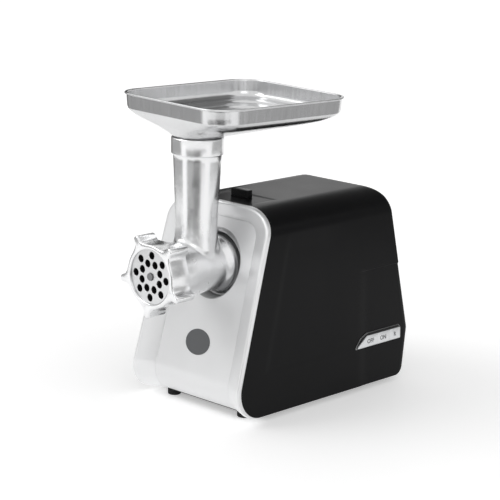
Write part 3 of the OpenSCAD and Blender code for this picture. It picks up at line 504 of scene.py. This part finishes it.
def make_bezel():
    # (distance in from the edge, depth behind the front): outer bead, slope, inner edge
    back = WALL + 0.6
    prof = [(back, -0.15), (0.12, -0.15), (0, -0.4), (0, -4.1), (0.12, -4.65), (0.45, -5.15),
            (0.95, -5.42), (1.5, -5.5), (2.6, -5.5), (3.3, -5.42), (3.9, -5.2), (4.6, -4.8)]
    s0, d0 = prof[-1]
    s1, slope_n = 24.4, 12
    for i in range(1, slope_n + 1):
        w = i / slope_n
        prof.append((s0 + (s1 - s0) * w, d0 + (PB - 0.5 - d0) * (w * 0.86 + 0.14 * w * w)))
    prof += [(24.85, PB - 0.15), (RIM_S, PB + 0.1), (RIM_S, PB + 5), (back, PB + 5)]
    even = 1.3      # up to here the bezel is as wide at the top as at the sides
    rings = []
    for s, d in prof:
        t = s if s < even else even + (s - even) * (RIM_T - even) / (RIM_S - even)
        rings.append([(x, yf(z) + d, z) for x, z in rim(s, t)])
    v, f = loft(rings, closed=False, wrap=True)
    n, m = len(rings[0]), len(rings)
    f.append(tuple(j * n for j in range(m)))
    f.append(tuple(j * n + n - 1 for j in range(m - 1, -1, -1)))
    return make("bezel", v, f, "silver", 40)


on(make_bezel(), "housing", "front_bezel", slot="silver_paint")


def make_panel():
    gap, foot, across, thickness = 0.06, 8.6, 32, 2.5
    s, t = RIM_S + gap, RIM_T + gap
    rx, rz, ex, ez = rim_corner(s, t)
    zs = [foot + (CHIN_END - foot) * (i / 20) ** 2 for i in range(21)]
    zs += [CHIN_END + (ez - CHIN_END) * i / 30 for i in range(1, 31)]
    zs += [ez + rz * math.sin(math.radians(a)) for a in range(6, 91, 6)]
    rows = []
    for z in zs:
        w = half(z) - s if z <= ez else ex + rx * math.sqrt(max(0, 1 - ((z - ez) / rz) ** 2))
        rows.append([(-w + 2 * w * i / across, yf(z) + PB, z) for i in range(across + 1)])
    v, f = loft(rows, closed=False)
    o = walled(make("front_panel", v, f, "panel", 30), thickness, 30)
    cut(o, turned_y([(0.001, -130), (SOCKET_R, -130), (SOCKET_R, -20), (0.001, -20)]), angle=30)
    return o


on(make_panel(), "housing", "front_plate", slot="silver_paint")


def make_disc():
    mid_z, disc_w, disc_h = 75.5, 18, 13.6
    rings = []
    for k, d in ((1.0, 0.0), (1.0, -0.3), (0.985, -0.5), (0.02, -0.5)):
        rings.append([(disc_w * x, yf(mid_z + disc_h * z) + PB + d, mid_z + disc_h * z)
                      for x, z in circle(k, 72)])
    v, f = loft(rings)
    return make("plain_disc", v, f, "print", 30)


on(make_disc(), "housing", "blank_disc", slot="dark_print")


# ---- head socket ----
def make_socket():
    """A cup whose lip follows the leaning panel; its floor has the hole for the drive."""
    # (radius, distance behind the panel) round the lip, then (radius, y) down the cup
    lip = [(37.8, 2.0), (37.8, 0.1), (37.6, -0.15), (37.2, -0.2), (36.9, 0.15)]
    cup = [(36.6, -66.0), (36.2, -65.2), (35.6, -65.0), (34.6, -64.6), (34.4, -56.4), (35.2, -56.4),
           (35.2, -48.0), (16.4, -48.0), (16.4, -46.0), (41.0, -46.0), (41.0, -52.0), (38.0, -52.0)]
    rings = []
    n = 120
    for i in range(n):
        a = 2 * math.pi * i / n
        c, s = math.cos(a), math.sin(a)
        prof = [(r, F0 + LEAN * (AX + r * s) + PB + d) for r, d in lip] + cup
        rings.append([(r * c, y, AX + r * s) for r, y in prof])
    v, f = loft(rings, closed=True, wrap=True)
    return make("socket", v, f, "cavity", 40)


on(make_socket(), "housing", "head_socket", slot="dark_chrome")


# ---- head: barrel and feed tube ----
# (y, outer radius) along the barrel
BARREL = [(-164, BARREL_R), (NUT_B - 0.7, BARREL_R), (NUT_B + 0.1, 32.4), (-136, 31.9),
          (-126, 31.2), (-112, 30), (-98, 28.6), (-86, 27.7), (-80.8, 27.6), (-79.4, 27.9),
          (-78, 28.5), (-75.5, 29.8), (-73.2, 31.0), (-72.2, 31.4), (-71.6, 31.5)]


def barrel_r(y):
    """Outer radius of the barrel at y."""
    for (y0, r0), (y1, r1) in zip(BARREL, BARREL[1:]):
        if y <= y1:
            return r0 + (r1 - r0) * (y - y0) / (y1 - y0)
    return BARREL[-1][1]


def make_barrel():
    ys = [NUT_B - 1, NUT_B - 0.2, -139, -136, -131, -126, -119, -112, -105, -98, -91, -86, -83,
          -80.8, -79.4, -78, -75.5, -73.2, -72.2, -71.6]
    out = [(BARREL_R, -164.0)] + [(barrel_r(y), y) for y in ys]
    # the spigot's end, the bore and the knife chamber at the mouth
    out += [(31.5, -48.8), (31.2, -48.4), (15.4, -48.4), (15.4, -52.5), (13.3, -52.5),
            (13.3, -56.0), (24.0, -56.0), (24.0, -62.0), (BORE_R, -62.0), (BORE_R, -152.7),
            (CHAMBER_R, -152.7), (CHAMBER_R, -158.8), (31.15, -158.8), (31.15, -164.0)]
    o = turned_y(out, n=128, closed=True, name="head_barrel", mat="cast", angle=32)
    v, f = loft([[(x, y, z) for x, y in circle(TUBE_RELIEF, 96, 0.0, TUBE_Y)]
                 for z in (AX, AX + 60)])
    cut(o, make("tool", v, f, "cast"), angle=32)
    return o


on(make_barrel(), "head", "head_casting", slot="cast_alloy")


# (z, outer radius) up the feed tube
TUBE = [(AX, 24.8), (AX + 30, 23.6), (AX + 42, 22.6), (AX + 60, 22.75), (COLLAR - 19, 26.0)]


def tube_outer(z):
    """Outer radius of the feed tube at height z."""
    if z <= TUBE[0][0]:
        return TUBE[0][1]
    for (z0, r0), (z1, r1) in zip(TUBE, TUBE[1:]):
        if z <= z1:
            return r0 + (r1 - r0) * ((z - z0) / (z1 - z0))
    return TUBE[-1][1]


def tube_profile(c, s):
    """Section of the tube in the direction (c, s): fillet on the barrel, wall, collar, bore."""
    fillet, overlap, fillet_n, wall_n = 5.5, 0.8, 8, 16
    # where the tube's wall meets the barrel, closed in on in a few turns
    r = 23.6
    for _ in range(6):
        br = barrel_r(TUBE_Y + r * s)
        meet = AX + math.sqrt(max(1.0, br * br - min(br * br - 1, (r * c) ** 2)))
        r = tube_outer(meet)
    on_wall = tube_outer(meet + fillet)
    top = Vector((on_wall * c, TUBE_Y + on_wall * s, meet + fillet))
    mid = Vector((r * c, TUBE_Y + r * s, meet))
    ro = r + fillet * overlap
    br = barrel_r(TUBE_Y + ro * s)
    x = ro * c
    if abs(x) > br * 0.985:
        x = math.copysign(br * 0.985, x)
    low = Vector((x, TUBE_Y + ro * s, AX + math.sqrt(br * br - x * x) - 0.06))
    # inner foot, on the barrel below the relief
    fx, fy = TUBE_RELIEF * c, TUBE_Y + TUBE_RELIEF * s
    bi = barrel_r(fy)
    prof = [(fx, fy, AX + math.sqrt(max(1.0, bi * bi - fx * fx)) - 0.3),
            (low.x, low.y, low.z - 0.5)]
    for k in range(fillet_n + 1):
        w = k / fillet_n
        prof.append(tuple(low * (1 - w) ** 2 + mid * (2 * w * (1 - w)) + top * w ** 2))
    wall = [top.z + (COLLAR - 19 - top.z) * k / wall_n for k in range(1, wall_n + 1)]
    turned = [(tube_outer(z), z) for z in wall]
    turned += [(26.3, COLLAR - 18.4), (27.4, COLLAR - 18.0), (27.85, COLLAR - 17.6),
               (28.05, COLLAR - 16.8), (28.3, COLLAR - 1.6), (28.15, COLLAR - 0.7),
               (27.6, COLLAR - 0.1), (26.8, COLLAR), (25.2, COLLAR), (24.7, COLLAR - 0.4),
               (24.6, COLLAR - 15.6), (24.4, COLLAR - 16.0), (20.2, COLLAR - 16.0),
               (TUBE_BORE, COLLAR - 16.3), (TUBE_BORE, COLLAR - 60), (TUBE_BORE, AX + 32),
               (TUBE_RELIEF, AX + 31.8)]
    return prof + [(q * c, TUBE_Y + q * s, z) for q, z in turned]


def make_tube():
    v, f = loft([tube_profile(c, s) for c, s in circle(1, 128)], closed=True, wrap=True)
    return make("feed_tube", v, f, "cast", 34)


on(make_tube(), "head", "feed_tube", slot="cast_alloy")


# ---- ring nut ----
def nut_outline():
    """Five lugs, each from its flank over its tip, with a round valley between."""
    lugs, first_lug, valley_r = 5, 48, 34.15
    # (radius, angle from the lug's middle)
    flank = [(34.2, -26), (34.4, -21.5), (34.8, -17.5), (35.8, -12.6), (37.6, -8.4), (39.6, -6.5),
             (41.6, -5.9), (43.4, -5.2), (44.9, -3.9), (45.8, -2.0), (46.0, 0.0)]
    pts = []
    for k in range(lugs):
        a0 = first_lug + 72 * k
        ring = [(r, a0 + a) for r, a in flank] + [(r, a0 - a) for r, a in reversed(flank[:-1])]
        ring += [(valley_r, a0 + 26 + 20 * j / 4) for j in range(1, 4)]
        pts += [(r * math.cos(math.radians(a)), r * math.sin(math.radians(a))) for r, a in ring]
    return pts


def make_nut():
    base = nut_outline()
    n = len(base)
    fine = []
    for i in range(n):
        q = [Vector(base[(i + k) % n]) for k in (-1, 0, 1, 2)]
        fine += [between(q, 0.0), between(q, 0.5)]
    n = len(fine)
    norm = []
    for i in range(n):
        t = (fine[(i + 1) % n] - fine[i - 1]).normalized()
        norm.append(Vector((t.y, -t.x)))
    outer = []
    for ins, y in ((1.0, NUT_B), (0.3, NUT_B - 0.3), (0.0, NUT_B - 1.0), (0.0, NUT_F + 1.8),
                   (0.25, NUT_F + 0.9), (0.9, NUT_F + 0.25), (1.7, NUT_F)):
        outer.append([(fine[i].x - norm[i].x * ins, y, AX + fine[i].y - norm[i].y * ins)
                      for i in range(n)])
    turns = [math.atan2(q.y, q.x) for q in fine]
    lip, thread_r = NUT_F + 1.8, 32.9
    inner = [[(r * math.cos(a), y, AX + r * math.sin(a)) for a in turns]
             for r, y in ((30.6, NUT_F), (30.0, NUT_F + 0.15), (NUT_OPEN + 0.1, NUT_F + 0.6),
                          (NUT_OPEN, NUT_F + 1.2), (NUT_OPEN, lip), (thread_r, lip),
                          (thread_r, NUT_B))]
    v, f = loft(outer + inner, closed=True, cap0=False, cap1=False, wrap=True)
    return make("lugged_nut", v, f, "cast", 36)


on(make_nut(), "nut", "ring_nut", slot="cast_alloy")


# ---- cutting plate ----
def make_plate():
    stud_r, edge = 4.05, 0.5
    o = turned_y([(stud_r, PLATE_F + edge), (4.5, PLATE_F), (PLATE_R - edge, PLATE_F),
                  (PLATE_R, PLATE_F + edge), (PLATE_R, PLATE_B - edge), (30.6, PLATE_B),
                  (stud_r, PLATE_B)], n=96, closed=True, name="hole_plate", mat="steel", angle=30)
    # two rings of eight holes, each from its radius and the angle of its first hole
    polar = [(r, a0 - 45 * k) for r, a0 in ((22.8, 132.5), (14.3, 110.3)) for k in range(8)]
    holes = [(r * math.cos(math.radians(a)), r * math.sin(math.radians(a))) for r, a in polar]
    # (radius, y) of a hole, with a small lead-in
    profile = ((4.6, -167.0), (4.45, PLATE_F), (4.0, -165.55), (HOLE_R, -165.2), (HOLE_R, -158.0))
    v, f = joined(loft([[(x, y, z) for x, z in circle(r, 28, cx, AX + cz)] for r, y in profile])
                  for cx, cz in holes)
    cut(o, make("tool", v, f, "steel"), angle=30)
    # the holes' walls lie in the dark
    o.data.materials.append(M["dark"])
    for q in o.data.polygons:
        x, z = q.center.x / MM, q.center.z / MM - AX
        near = min(math.hypot(x - cx, z - cz) for cx, cz in holes)
        q.material_index = 1 if near < HOLE_R + 0.05 and abs(q.normal.y) < 0.4 else 0
    return o


on(make_plate(), "head", "cutting_plate", slot="steel")


# ---- tray ----
def tray_ring(x0, x1, y0, y1, r, z, corner_n=12, edge_n=6):
    """A rounded rectangle round the tube, turned with the tray."""
    w, l = x1 - x0, y1 - y0
    cx, cy = (x0 + x1) / 2, (y0 + y1) / 2
    r = min(r, w / 2 - 0.01, l / 2 - 0.01)
    corners = [(cx + w / 2 - r, cy - l / 2 + r, -90), (cx + w / 2 - r, cy + l / 2 - r, 0),
               (cx - w / 2 + r, cy + l / 2 - r, 90), (cx - w / 2 + r, cy - l / 2 + r, 180)]
    arcs = [arc(x, y, r, a0, a0 + 90, corner_n) for x, y, a0 in corners]
    pts = []
    for k, a in enumerate(arcs):
        pts += a
        (ax, ay), (bx, by) = a[-1], arcs[(k + 1) % 4][0]
        for j in range(1, edge_n):
            pts.append((ax + (bx - ax) * j / edge_n, ay + (by - ay) * j / edge_n))
    c, s = math.cos(math.radians(TURN)), math.sin(math.radians(TURN))
    return [(x * c - y * s, TUBE_Y + x * s + y * c, z) for x, y in pts]


def inset(left, right, front, back, r, z):
    """A ring set in from the tray's four sides."""
    return (TRAY_X - TRAY_W / 2 + left, TRAY_X + TRAY_W / 2 - right,
            TRAY_Y - TRAY_L / 2 + front, TRAY_Y + TRAY_L / 2 - back, r, z)


def round_ring(r, z):
    return (-r, r, -r, r, r - 0.01, z)


def eased(keys, step):
    """Rings on a smooth curve through the key rings."""
    out = []
    for i in range(len(keys) - 1):
        q = [Vector(keys[max(0, min(len(keys) - 1, i + k))]) for k in (-1, 0, 1, 2)]
        out += [tuple(between(q, j / step)) for j in range(step)]
    return out + [tuple(keys[-1])]


def make_tray():
    """The dish from its neck up the outside, over the rim and down the inside."""
    N, WZ = COLLAR, RIM_Z - TRAY_WALL       # heights of the tube's collar and the wall's foot
    outer = [round_ring(NECK_R, N - 15), round_ring(NECK_R, N + 0.3)]
    outer += eased([round_ring(26.3, N + 0.4), (-31, 31, -29, 38, 29, N + 3),
                    inset(44, 37, 11.5, 62, 36, N + 8), inset(25, 21, 9, 28, 38, WZ - 11.5),
                    inset(11.5, 10.5, 6.4, 12, 37, WZ - 7.6),
                    inset(5.2, 5.2, 4.2, 5.4, 33, WZ - 3.6), inset(2.7, 2.7, 2.7, 2.7, 31, WZ)], 5)
    outer.append(inset(2.66, 2.66, 2.66, 2.66, 31, WZ + 0.2))
    # the wall, leaning out a little, and the rolled rim: (inset, height)
    outer += [inset(v, v, v, v, 31 - v / 3, z) for v, z in (
        (2.55, WZ + 2), (2.2, WZ + 7), (1.85, RIM_Z - 3.4), (1.8, RIM_Z - 2.6), (1.72, RIM_Z - 2.2),
        (1.5, RIM_Z - 1.95), (0.5, RIM_Z - 1.7), (0.12, RIM_Z - 1.5), (0, RIM_Z - 1.1),
        (0.12, RIM_Z - 0.5), (0.5, RIM_Z - 0.1), (1.1, RIM_Z - 0.02), (2.0, RIM_Z - 0.05),
        (2.7, RIM_Z - 0.3), (2.95, RIM_Z - 0.9), (3.0, RIM_Z - 1.6))]
    # the floor, in two steps down to the throat
    floor = [inset(3.7, 3.7, 3.7, 3.7, 29, WZ + 4), inset(4.0, 4.0, 4.0, 4.0, 29, WZ + 0.6),
             inset(5.2, 5.2, 5.0, 5.2, 29, WZ - 1.6), inset(7.2, 7.2, 6.2, 7.2, 29, WZ - 3.2),
             inset(9.6, 9.4, 7.0, 9.8, 29, WZ - 4.1), inset(15, 14.6, 8.6, 15.5, 30, WZ - 4.8),
             inset(15.8, 15.4, 9.1, 16.3, 30, WZ - 5.1), inset(16.6, 16.2, 9.8, 17.3, 30, WZ - 6.9),
             inset(17.4, 17.0, 10.4, 18.2, 30, WZ - 7.3), inset(26, 23, 12, 29, 31, WZ - 8.3),
             inset(26.7, 23.7, 12.5, 29.8, 31, WZ - 8.6), inset(27.5, 24.5, 13, 31, 31, WZ - 10.3),
             inset(28.3, 25.3, 13.5, 32, 31, WZ - 10.7)]
    throat_r = 22.4
    floor += eased([inset(30, 27, 13.8, 38, 32, WZ - 11.3), inset(46, 39, 14.4, 64, 32, N + 10.6),
                    (-31, 31, -27.4, 38, 27, N + 5.6), (-25, 25, -25, 25, 24.9, N + 2.2),
                    round_ring(throat_r + 0.2, N - 1)], 4)
    floor += [round_ring(throat_r, N - 4), round_ring(throat_r, N - 15)]
    v, f = loft([tray_ring(*k) for k in outer + floor], closed=True, wrap=True)
    return make("tray_dish", v, f, "tray", 50)


on(make_tray(), "hopper", "tray", slot="tray_alloy")


# ---- release button ----
def make_button():
    w, y0, y1, top = BUTTON_X, BUTTON_Y0, BUTTON_Y1, TOP + BUTTON_H
    cy, hy = (y0 + y1) / 2, (y1 - y0) / 2
    pts = rounded([(-w, y0), (w, y0), (w, y1), (-w, y1)], 0.7, 4)
    # a slimmer foot below the hood's top, then the block with its rounded upper edge
    foot_x, foot_y = 8 / w, 2.2 / hy
    rings = [[(x * foot_x, cy + (y - cy) * foot_y, z) for x, y in pts] for z in (TOP - 9, TOP - 4)]
    for ins, z in ((0, TOP - 4), (0, top - 0.7), (0.12, top - 0.3), (0.45, top - 0.05), (0.9, top)):
        rings.append([(x * (1 - ins / w), cy + (y - cy) * (1 - ins / hy), z) for x, y in pts])
    v, f = loft(rings)
    return make("button_cap", v, f, "button", 40)


on(make_button(), "release", "release_button", slot="black_part")


# ---- feet ----
def make_feet():
    """Four round feet; the profile holds (radius, z)."""
    profile = ((3.0, 2.0), (3.0, 0.3), (3.4, 0.0), (6.3, 0.0), (7.0, 0.35), (7.4, 1.1), (7.5, 2.0),
               (7.5, ZA - 0.1), (7.4, ZA), (2.6, ZA), (2.6, ZA + 1.5))
    v, f = joined(loft([[(x, y, z) for x, y in circle(r, 40, side * fx, fy)] for r, z in profile])
                  for side in (-1, 1) for fx, fy in (FOOT_FRONT, FOOT_REAR))
    return make("feet", v, f, "rubber", 40)


on(make_feet(), "housing", "rubber_feet", slot="rubber")


# ---- keys and their frame ----
def key_face(z, out):
    """x of the leaning right side at height z, set out by the given distance."""
    return half(z) + out


def side_block(pts, inner_x, centre, halves, steps):
    """A block out of the right side, from its inner end to its face: (inset, how far out)."""
    rings = [[(inner_x, y, z) for y, z in pts]]
    (cy, cz), (hy, hz) = centre, halves
    for ins, out in steps:
        ring = [(cy + (y - cy) * (1 - ins / hy), cz + (z - cz) * (1 - ins / hz)) for y, z in pts]
        rings.append([(key_face(z, out), y, z) for y, z in ring])
    return loft(rings)


def make_key(name, pts, body, node, letters, at):
    """A key from its outline (y, z), with its letters centred on y = at."""
    pts = rounded(pts, 0.5, 2)
    ys = [p[0] for p in pts]
    cy, hy = sum(ys) / len(ys), (max(ys) - min(ys)) / 2
    v, f = side_block(pts, 62, (cy, 57.7), (hy, 5.9), ((0, 1.3), (0.12, 1.65), (0.5, KEY_OUT)))
    on(make(name, v, f, "key", 35), body, node, slot="key_plastic")
    on(make_letters(name, letters, at), body, slot="dark_print")


def make_letters(name, letters, at):
    """Raised letters on a key, upright and leaning with the side."""
    cu = bpy.data.curves.new(name + "_mark", "FONT")
    cu.body = letters
    cu.size = 6.8 * MM
    cu.align_x = "CENTER"
    cu.align_y = "CENTER"
    cu.extrude = 0.06 * MM
    cu.offset = 0.12 * MM
    t = bpy.data.objects.new(name + "_mark", cu)
    bpy.context.scene.collection.objects.link(t)
    z = 57.3
    place = (Matrix.Translation(Vector((key_face(z, KEY_OUT + 0.02), at, z)) * MM)
             @ Matrix(((0, 0, 1, 0), (1, 0, 0, 0), (0, 1, 0, 0), (0, 0, 0, 1))))
    t.matrix_world = place
    dg = bpy.context.evaluated_depsgraph_get()
    me = bpy.data.meshes.new_from_object(t.evaluated_get(dg))
    me.transform(place)
    for v in me.vertices:
        v.co.x += (half(v.co.z / MM) - half(z)) * MM
    o = bpy.data.objects.new(name + "_letters", me)
    bpy.context.scene.collection.objects.link(o)
    bpy.data.objects.remove(t)
    me.materials.clear()
    me.materials.append(M["print"])
    return o


make_key("key_off", [(77.9, 51.95), (79.2, 53.4), (94.15, KEY_Z1), (112.7, KEY_Z1), (112.7, 51.95)],
         "off", "off_key", "OFF", 99.5)
make_key("key_on", [(113.1, KEY_Z0), (113.1, KEY_Z1), (133.9, KEY_Z1), (133.9, KEY_Z0)],
         "on", "on_key", "ON", 121.5)
make_key("key_r", [(134.3, KEY_Z0), (134.3, KEY_Z1), (151.9, KEY_Z1), (151.9, KEY_Z0)],
         "reverse", "reverse_key", "R", 142.5)


def make_key_frame():
    edge = rounded([(73.8, 50.5), (76.2, 54.3), (83.1, 62.5), (94.6, 67.4), (150.6, 67.4),
                    (153.7, 63.9), (153.7, 50.5)], 1.2, 3)
    opening = rounded([(77.4, 51.5), (78.4, 53.6), (93.9, 63.9), (100, 63.95), (152.3, 63.95),
                       (152.35, 60.0), (152.35, 51.5)], 0.5, 3)
    bead_out = 1.1
    v, f = side_block(edge, 70, (114, 58.9), (40, 8.4), ((0, 0.5), (0.3, 0.95), (0.8, bead_out)))
    o = cut(make("frame_of_keys", v, f, "bead", 35), prism_x(opening, 60, 100), angle=35)
    # the flat between the outer bead and the keys is black
    o.data.materials.append(M["black"])
    for q in o.data.polygons:
        c = q.center / MM
        flat = c.x - half(c.z) > bead_out * 0.9 and q.area / MM ** 2 > 2.5
        q.material_index = 1 if flat else 0
    return o


on(make_key_frame(), "housing", "key_frame", slot="dark_chrome")


# ---- studio ----
SOFT = 0.45             # what the white world gives to diffuse light
FLOOR_HALF = 6.0        # half the floor's width, in metres
CARD_AZ = -47.7         # the direction that the cards' angles are measured from, in degrees


def glow(name, level):
    """A material that gives out one even grey."""
    m, nt, _ = new_mat(name)
    e = add(nt, "Emission", Color=(level, level, level, 1), Strength=1.0)
    nt.links.new(e.outputs[0], node_of(nt, "OUTPUT_MATERIAL").inputs["Surface"])
    return m


def stage_piece(name, verts, faces, mat):
    me = bpy.data.meshes.new(name)
    me.from_pydata(verts, [], faces)
    me.materials.append(mat)
    o = bpy.data.objects.new(name, me)
    bpy.context.scene.collection.objects.link(o)
    return o


def make_world():
    """White to the camera and in reflections, softer as a light."""
    w = bpy.data.worlds.new("studio")
    bpy.context.scene.world = w
    w.use_nodes = True
    nt = w.node_tree
    link = nt.links.new
    white = node_of(nt, "BACKGROUND")
    set_inputs(white, Color=(1, 1, 1, 1), Strength=1.0)
    soft = add(nt, "Background", Color=(1, 1, 1, 1), Strength=SOFT)
    path = add(nt, "LightPath")
    seen = path.outputs["Is Camera Ray"]
    for ray in ("Is Glossy Ray", "Is Transmission Ray"):
        either = add(nt, "Math")
        either.operation = "MAXIMUM"
        link(seen, either.inputs[0])
        link(path.outputs[ray], either.inputs[1])
        seen = either.outputs[0]
    mix = add(nt, "MixShader")
    link(seen, mix.inputs["Fac"])
    link(soft.outputs[0], mix.inputs[1])
    link(white.outputs[0], mix.inputs[2])
    link(mix.outputs[0], node_of(nt, "OUTPUT_WORLD").inputs["Surface"])


def make_floor():
    """A diffuse floor lifted to white, less so near the machine: a painted soft shadow round it."""
    m, nt, b = new_mat("floor_white")
    link = nt.links.new
    set_inputs(b, Base_Color=(0.86, 0.86, 0.86, 1), Roughness=0.6, Specular_IOR_Level=0.2)
    lift = add(nt, "Emission", Color=(1, 1, 1, 1))
    tc = add(nt, "TexCoord")
    away = add(nt, "VectorMath")
    away.operation = "LENGTH"
    # painted shadow: the floor's lift to white is weaker near the machine
    mr = add(nt, "MapRange", From_Min=0.12, From_Max=0.62, To_Min=0.42, To_Max=0.62)
    link(tc.outputs["Object"], away.inputs[0])
    link(away.outputs["Value"], mr.inputs["Value"])
    link(mr.outputs["Result"], lift.inputs["Strength"])
    both = add(nt, "AddShader")
    link(b.outputs[0], both.inputs[0])
    link(lift.outputs[0], both.inputs[1])
    link(both.outputs[0], node_of(nt, "OUTPUT_MATERIAL").inputs["Surface"])
    s = FLOOR_HALF
    stage_piece("floor", [(-s, -s, 0), (s, -s, 0), (s, s, 0), (-s, s, 0)], [(0, 1, 2, 3)], m)


def make_light(name, loc, size, power):
    """A square light, aimed at the middle of the machine."""
    aim = Vector((0, 0, 0.15))
    light = bpy.data.lights.new(name, "AREA")
    light.shape = "RECTANGLE"
    light.size = light.size_y = size
    light.energy = power
    o = bpy.data.objects.new(name, light)
    bpy.context.scene.collection.objects.link(o)
    o.location = loc
    o.rotation_euler = (aim - Vector(loc)).to_track_quat("-Z", "Y").to_euler()


def reflected(name, verts, faces, level):
    """A grey card that only reflections see."""
    o = stage_piece(name, verts, faces, glow(name, level))
    for k in ("visible_camera", "visible_diffuse", "visible_transmission", "visible_shadow"):
        setattr(o, k, False)


def round_set(r, a, cy, z):
    """A point in metres at radius r and angle a, in degrees from CARD_AZ, round (0, cy)."""
    a = math.radians(CARD_AZ + a)
    return (r * math.cos(a), r * math.sin(a) + cy, z)


def card(name, a0, a1, z0, z1, level, r=0.95):
    """An upright curved card from angle a0 to a1 and from height z0 to z1, in metres."""
    n, cy = 10, -0.03
    vs = []
    for i in range(n + 1):
        a = a0 + (a1 - a0) * i / n
        vs += [round_set(r, a, cy, z0), round_set(r, a, cy, z1)]
    reflected(name, vs, [(2 * i, 2 * i + 2, 2 * i + 3, 2 * i + 1) for i in range(n)], level)


bpy.context.scene.view_settings.view_transform = "Standard"
make_world()
make_floor()
make_light("key_light", (-1.6, -1.9, 2.0), 2.0, 26)
make_light("fill_light", (1.9, -1.6, 1.6), 1.2, 5)
card("flag_front", -22, 12, 0.001, 0.05, 0.16)
card("flag_left", -124, -83, 0.001, 0.22, 0.36)
card("flag_slope", -154, -124, 0.001, 0.7, 0.22)
card("flag_right", 100, 130, 0.001, 0.30, 0.10)
card("flag_edge_left", -178, -154, 0.001, 0.75, 0.05)
card("flag_tray_right", 56, 122, 0.14, 0.33, 0.46, 0.42)
card("flag_tray_left", -126, -66, 0.14, 0.33, 0.44, 0.42)
card("flag_back_right", 92, 174, 0.57, 2.4, 0.20)
card("flag_tube", -46, 14, 0.060, 0.132, 0.18, 0.5)
card("flag_collar", -48, 30, 0.148, 0.182, 0.12, 0.5)
# a low card that lies on the table in front
reflected("flag_table", [round_set(r, a, -0.05, 0.002)
                         for r, a in ((0.5, -12), (0.5, 10), (0.95, 10), (0.95, -16))],
          [(0, 1, 2, 3)], 0.2)

# ---- camera ----
FOCAL_PX, FRAME_PX, SENSOR = 1826, 500, 36


def make_camera(az, el, roll, dist, target):
    """Looks at the target from azimuth az, from -Y towards +X, and elevation el, in degrees."""
    az, el, roll = math.radians(az), math.radians(el), math.radians(roll)
    back = Vector((math.cos(el) * math.sin(az), -math.cos(el) * math.cos(az), math.sin(el)))
    right = Vector((math.cos(az), math.sin(az), 0))
    up = back.cross(right)
    rolled_right = right * math.cos(roll) + up * math.sin(roll)
    rolled_up = up * math.cos(roll) - right * math.sin(roll)
    place = Matrix((rolled_right, rolled_up, back)).transposed().to_4x4()
    place.translation = Vector(target) + back * dist
    cam = bpy.data.cameras.new("camera")
    cam.lens = FOCAL_PX / FRAME_PX * SENSOR
    cam.sensor_width = SENSOR
    cam.clip_end = 50
    o = bpy.data.objects.new("camera", cam)
    bpy.context.scene.collection.objects.link(o)
    o.matrix_world = place
    bpy.context.scene.camera = o


make_camera(43.423, 13.277, 1.454, 2.0209, (-0.00305, -0.01252, 0.16471))
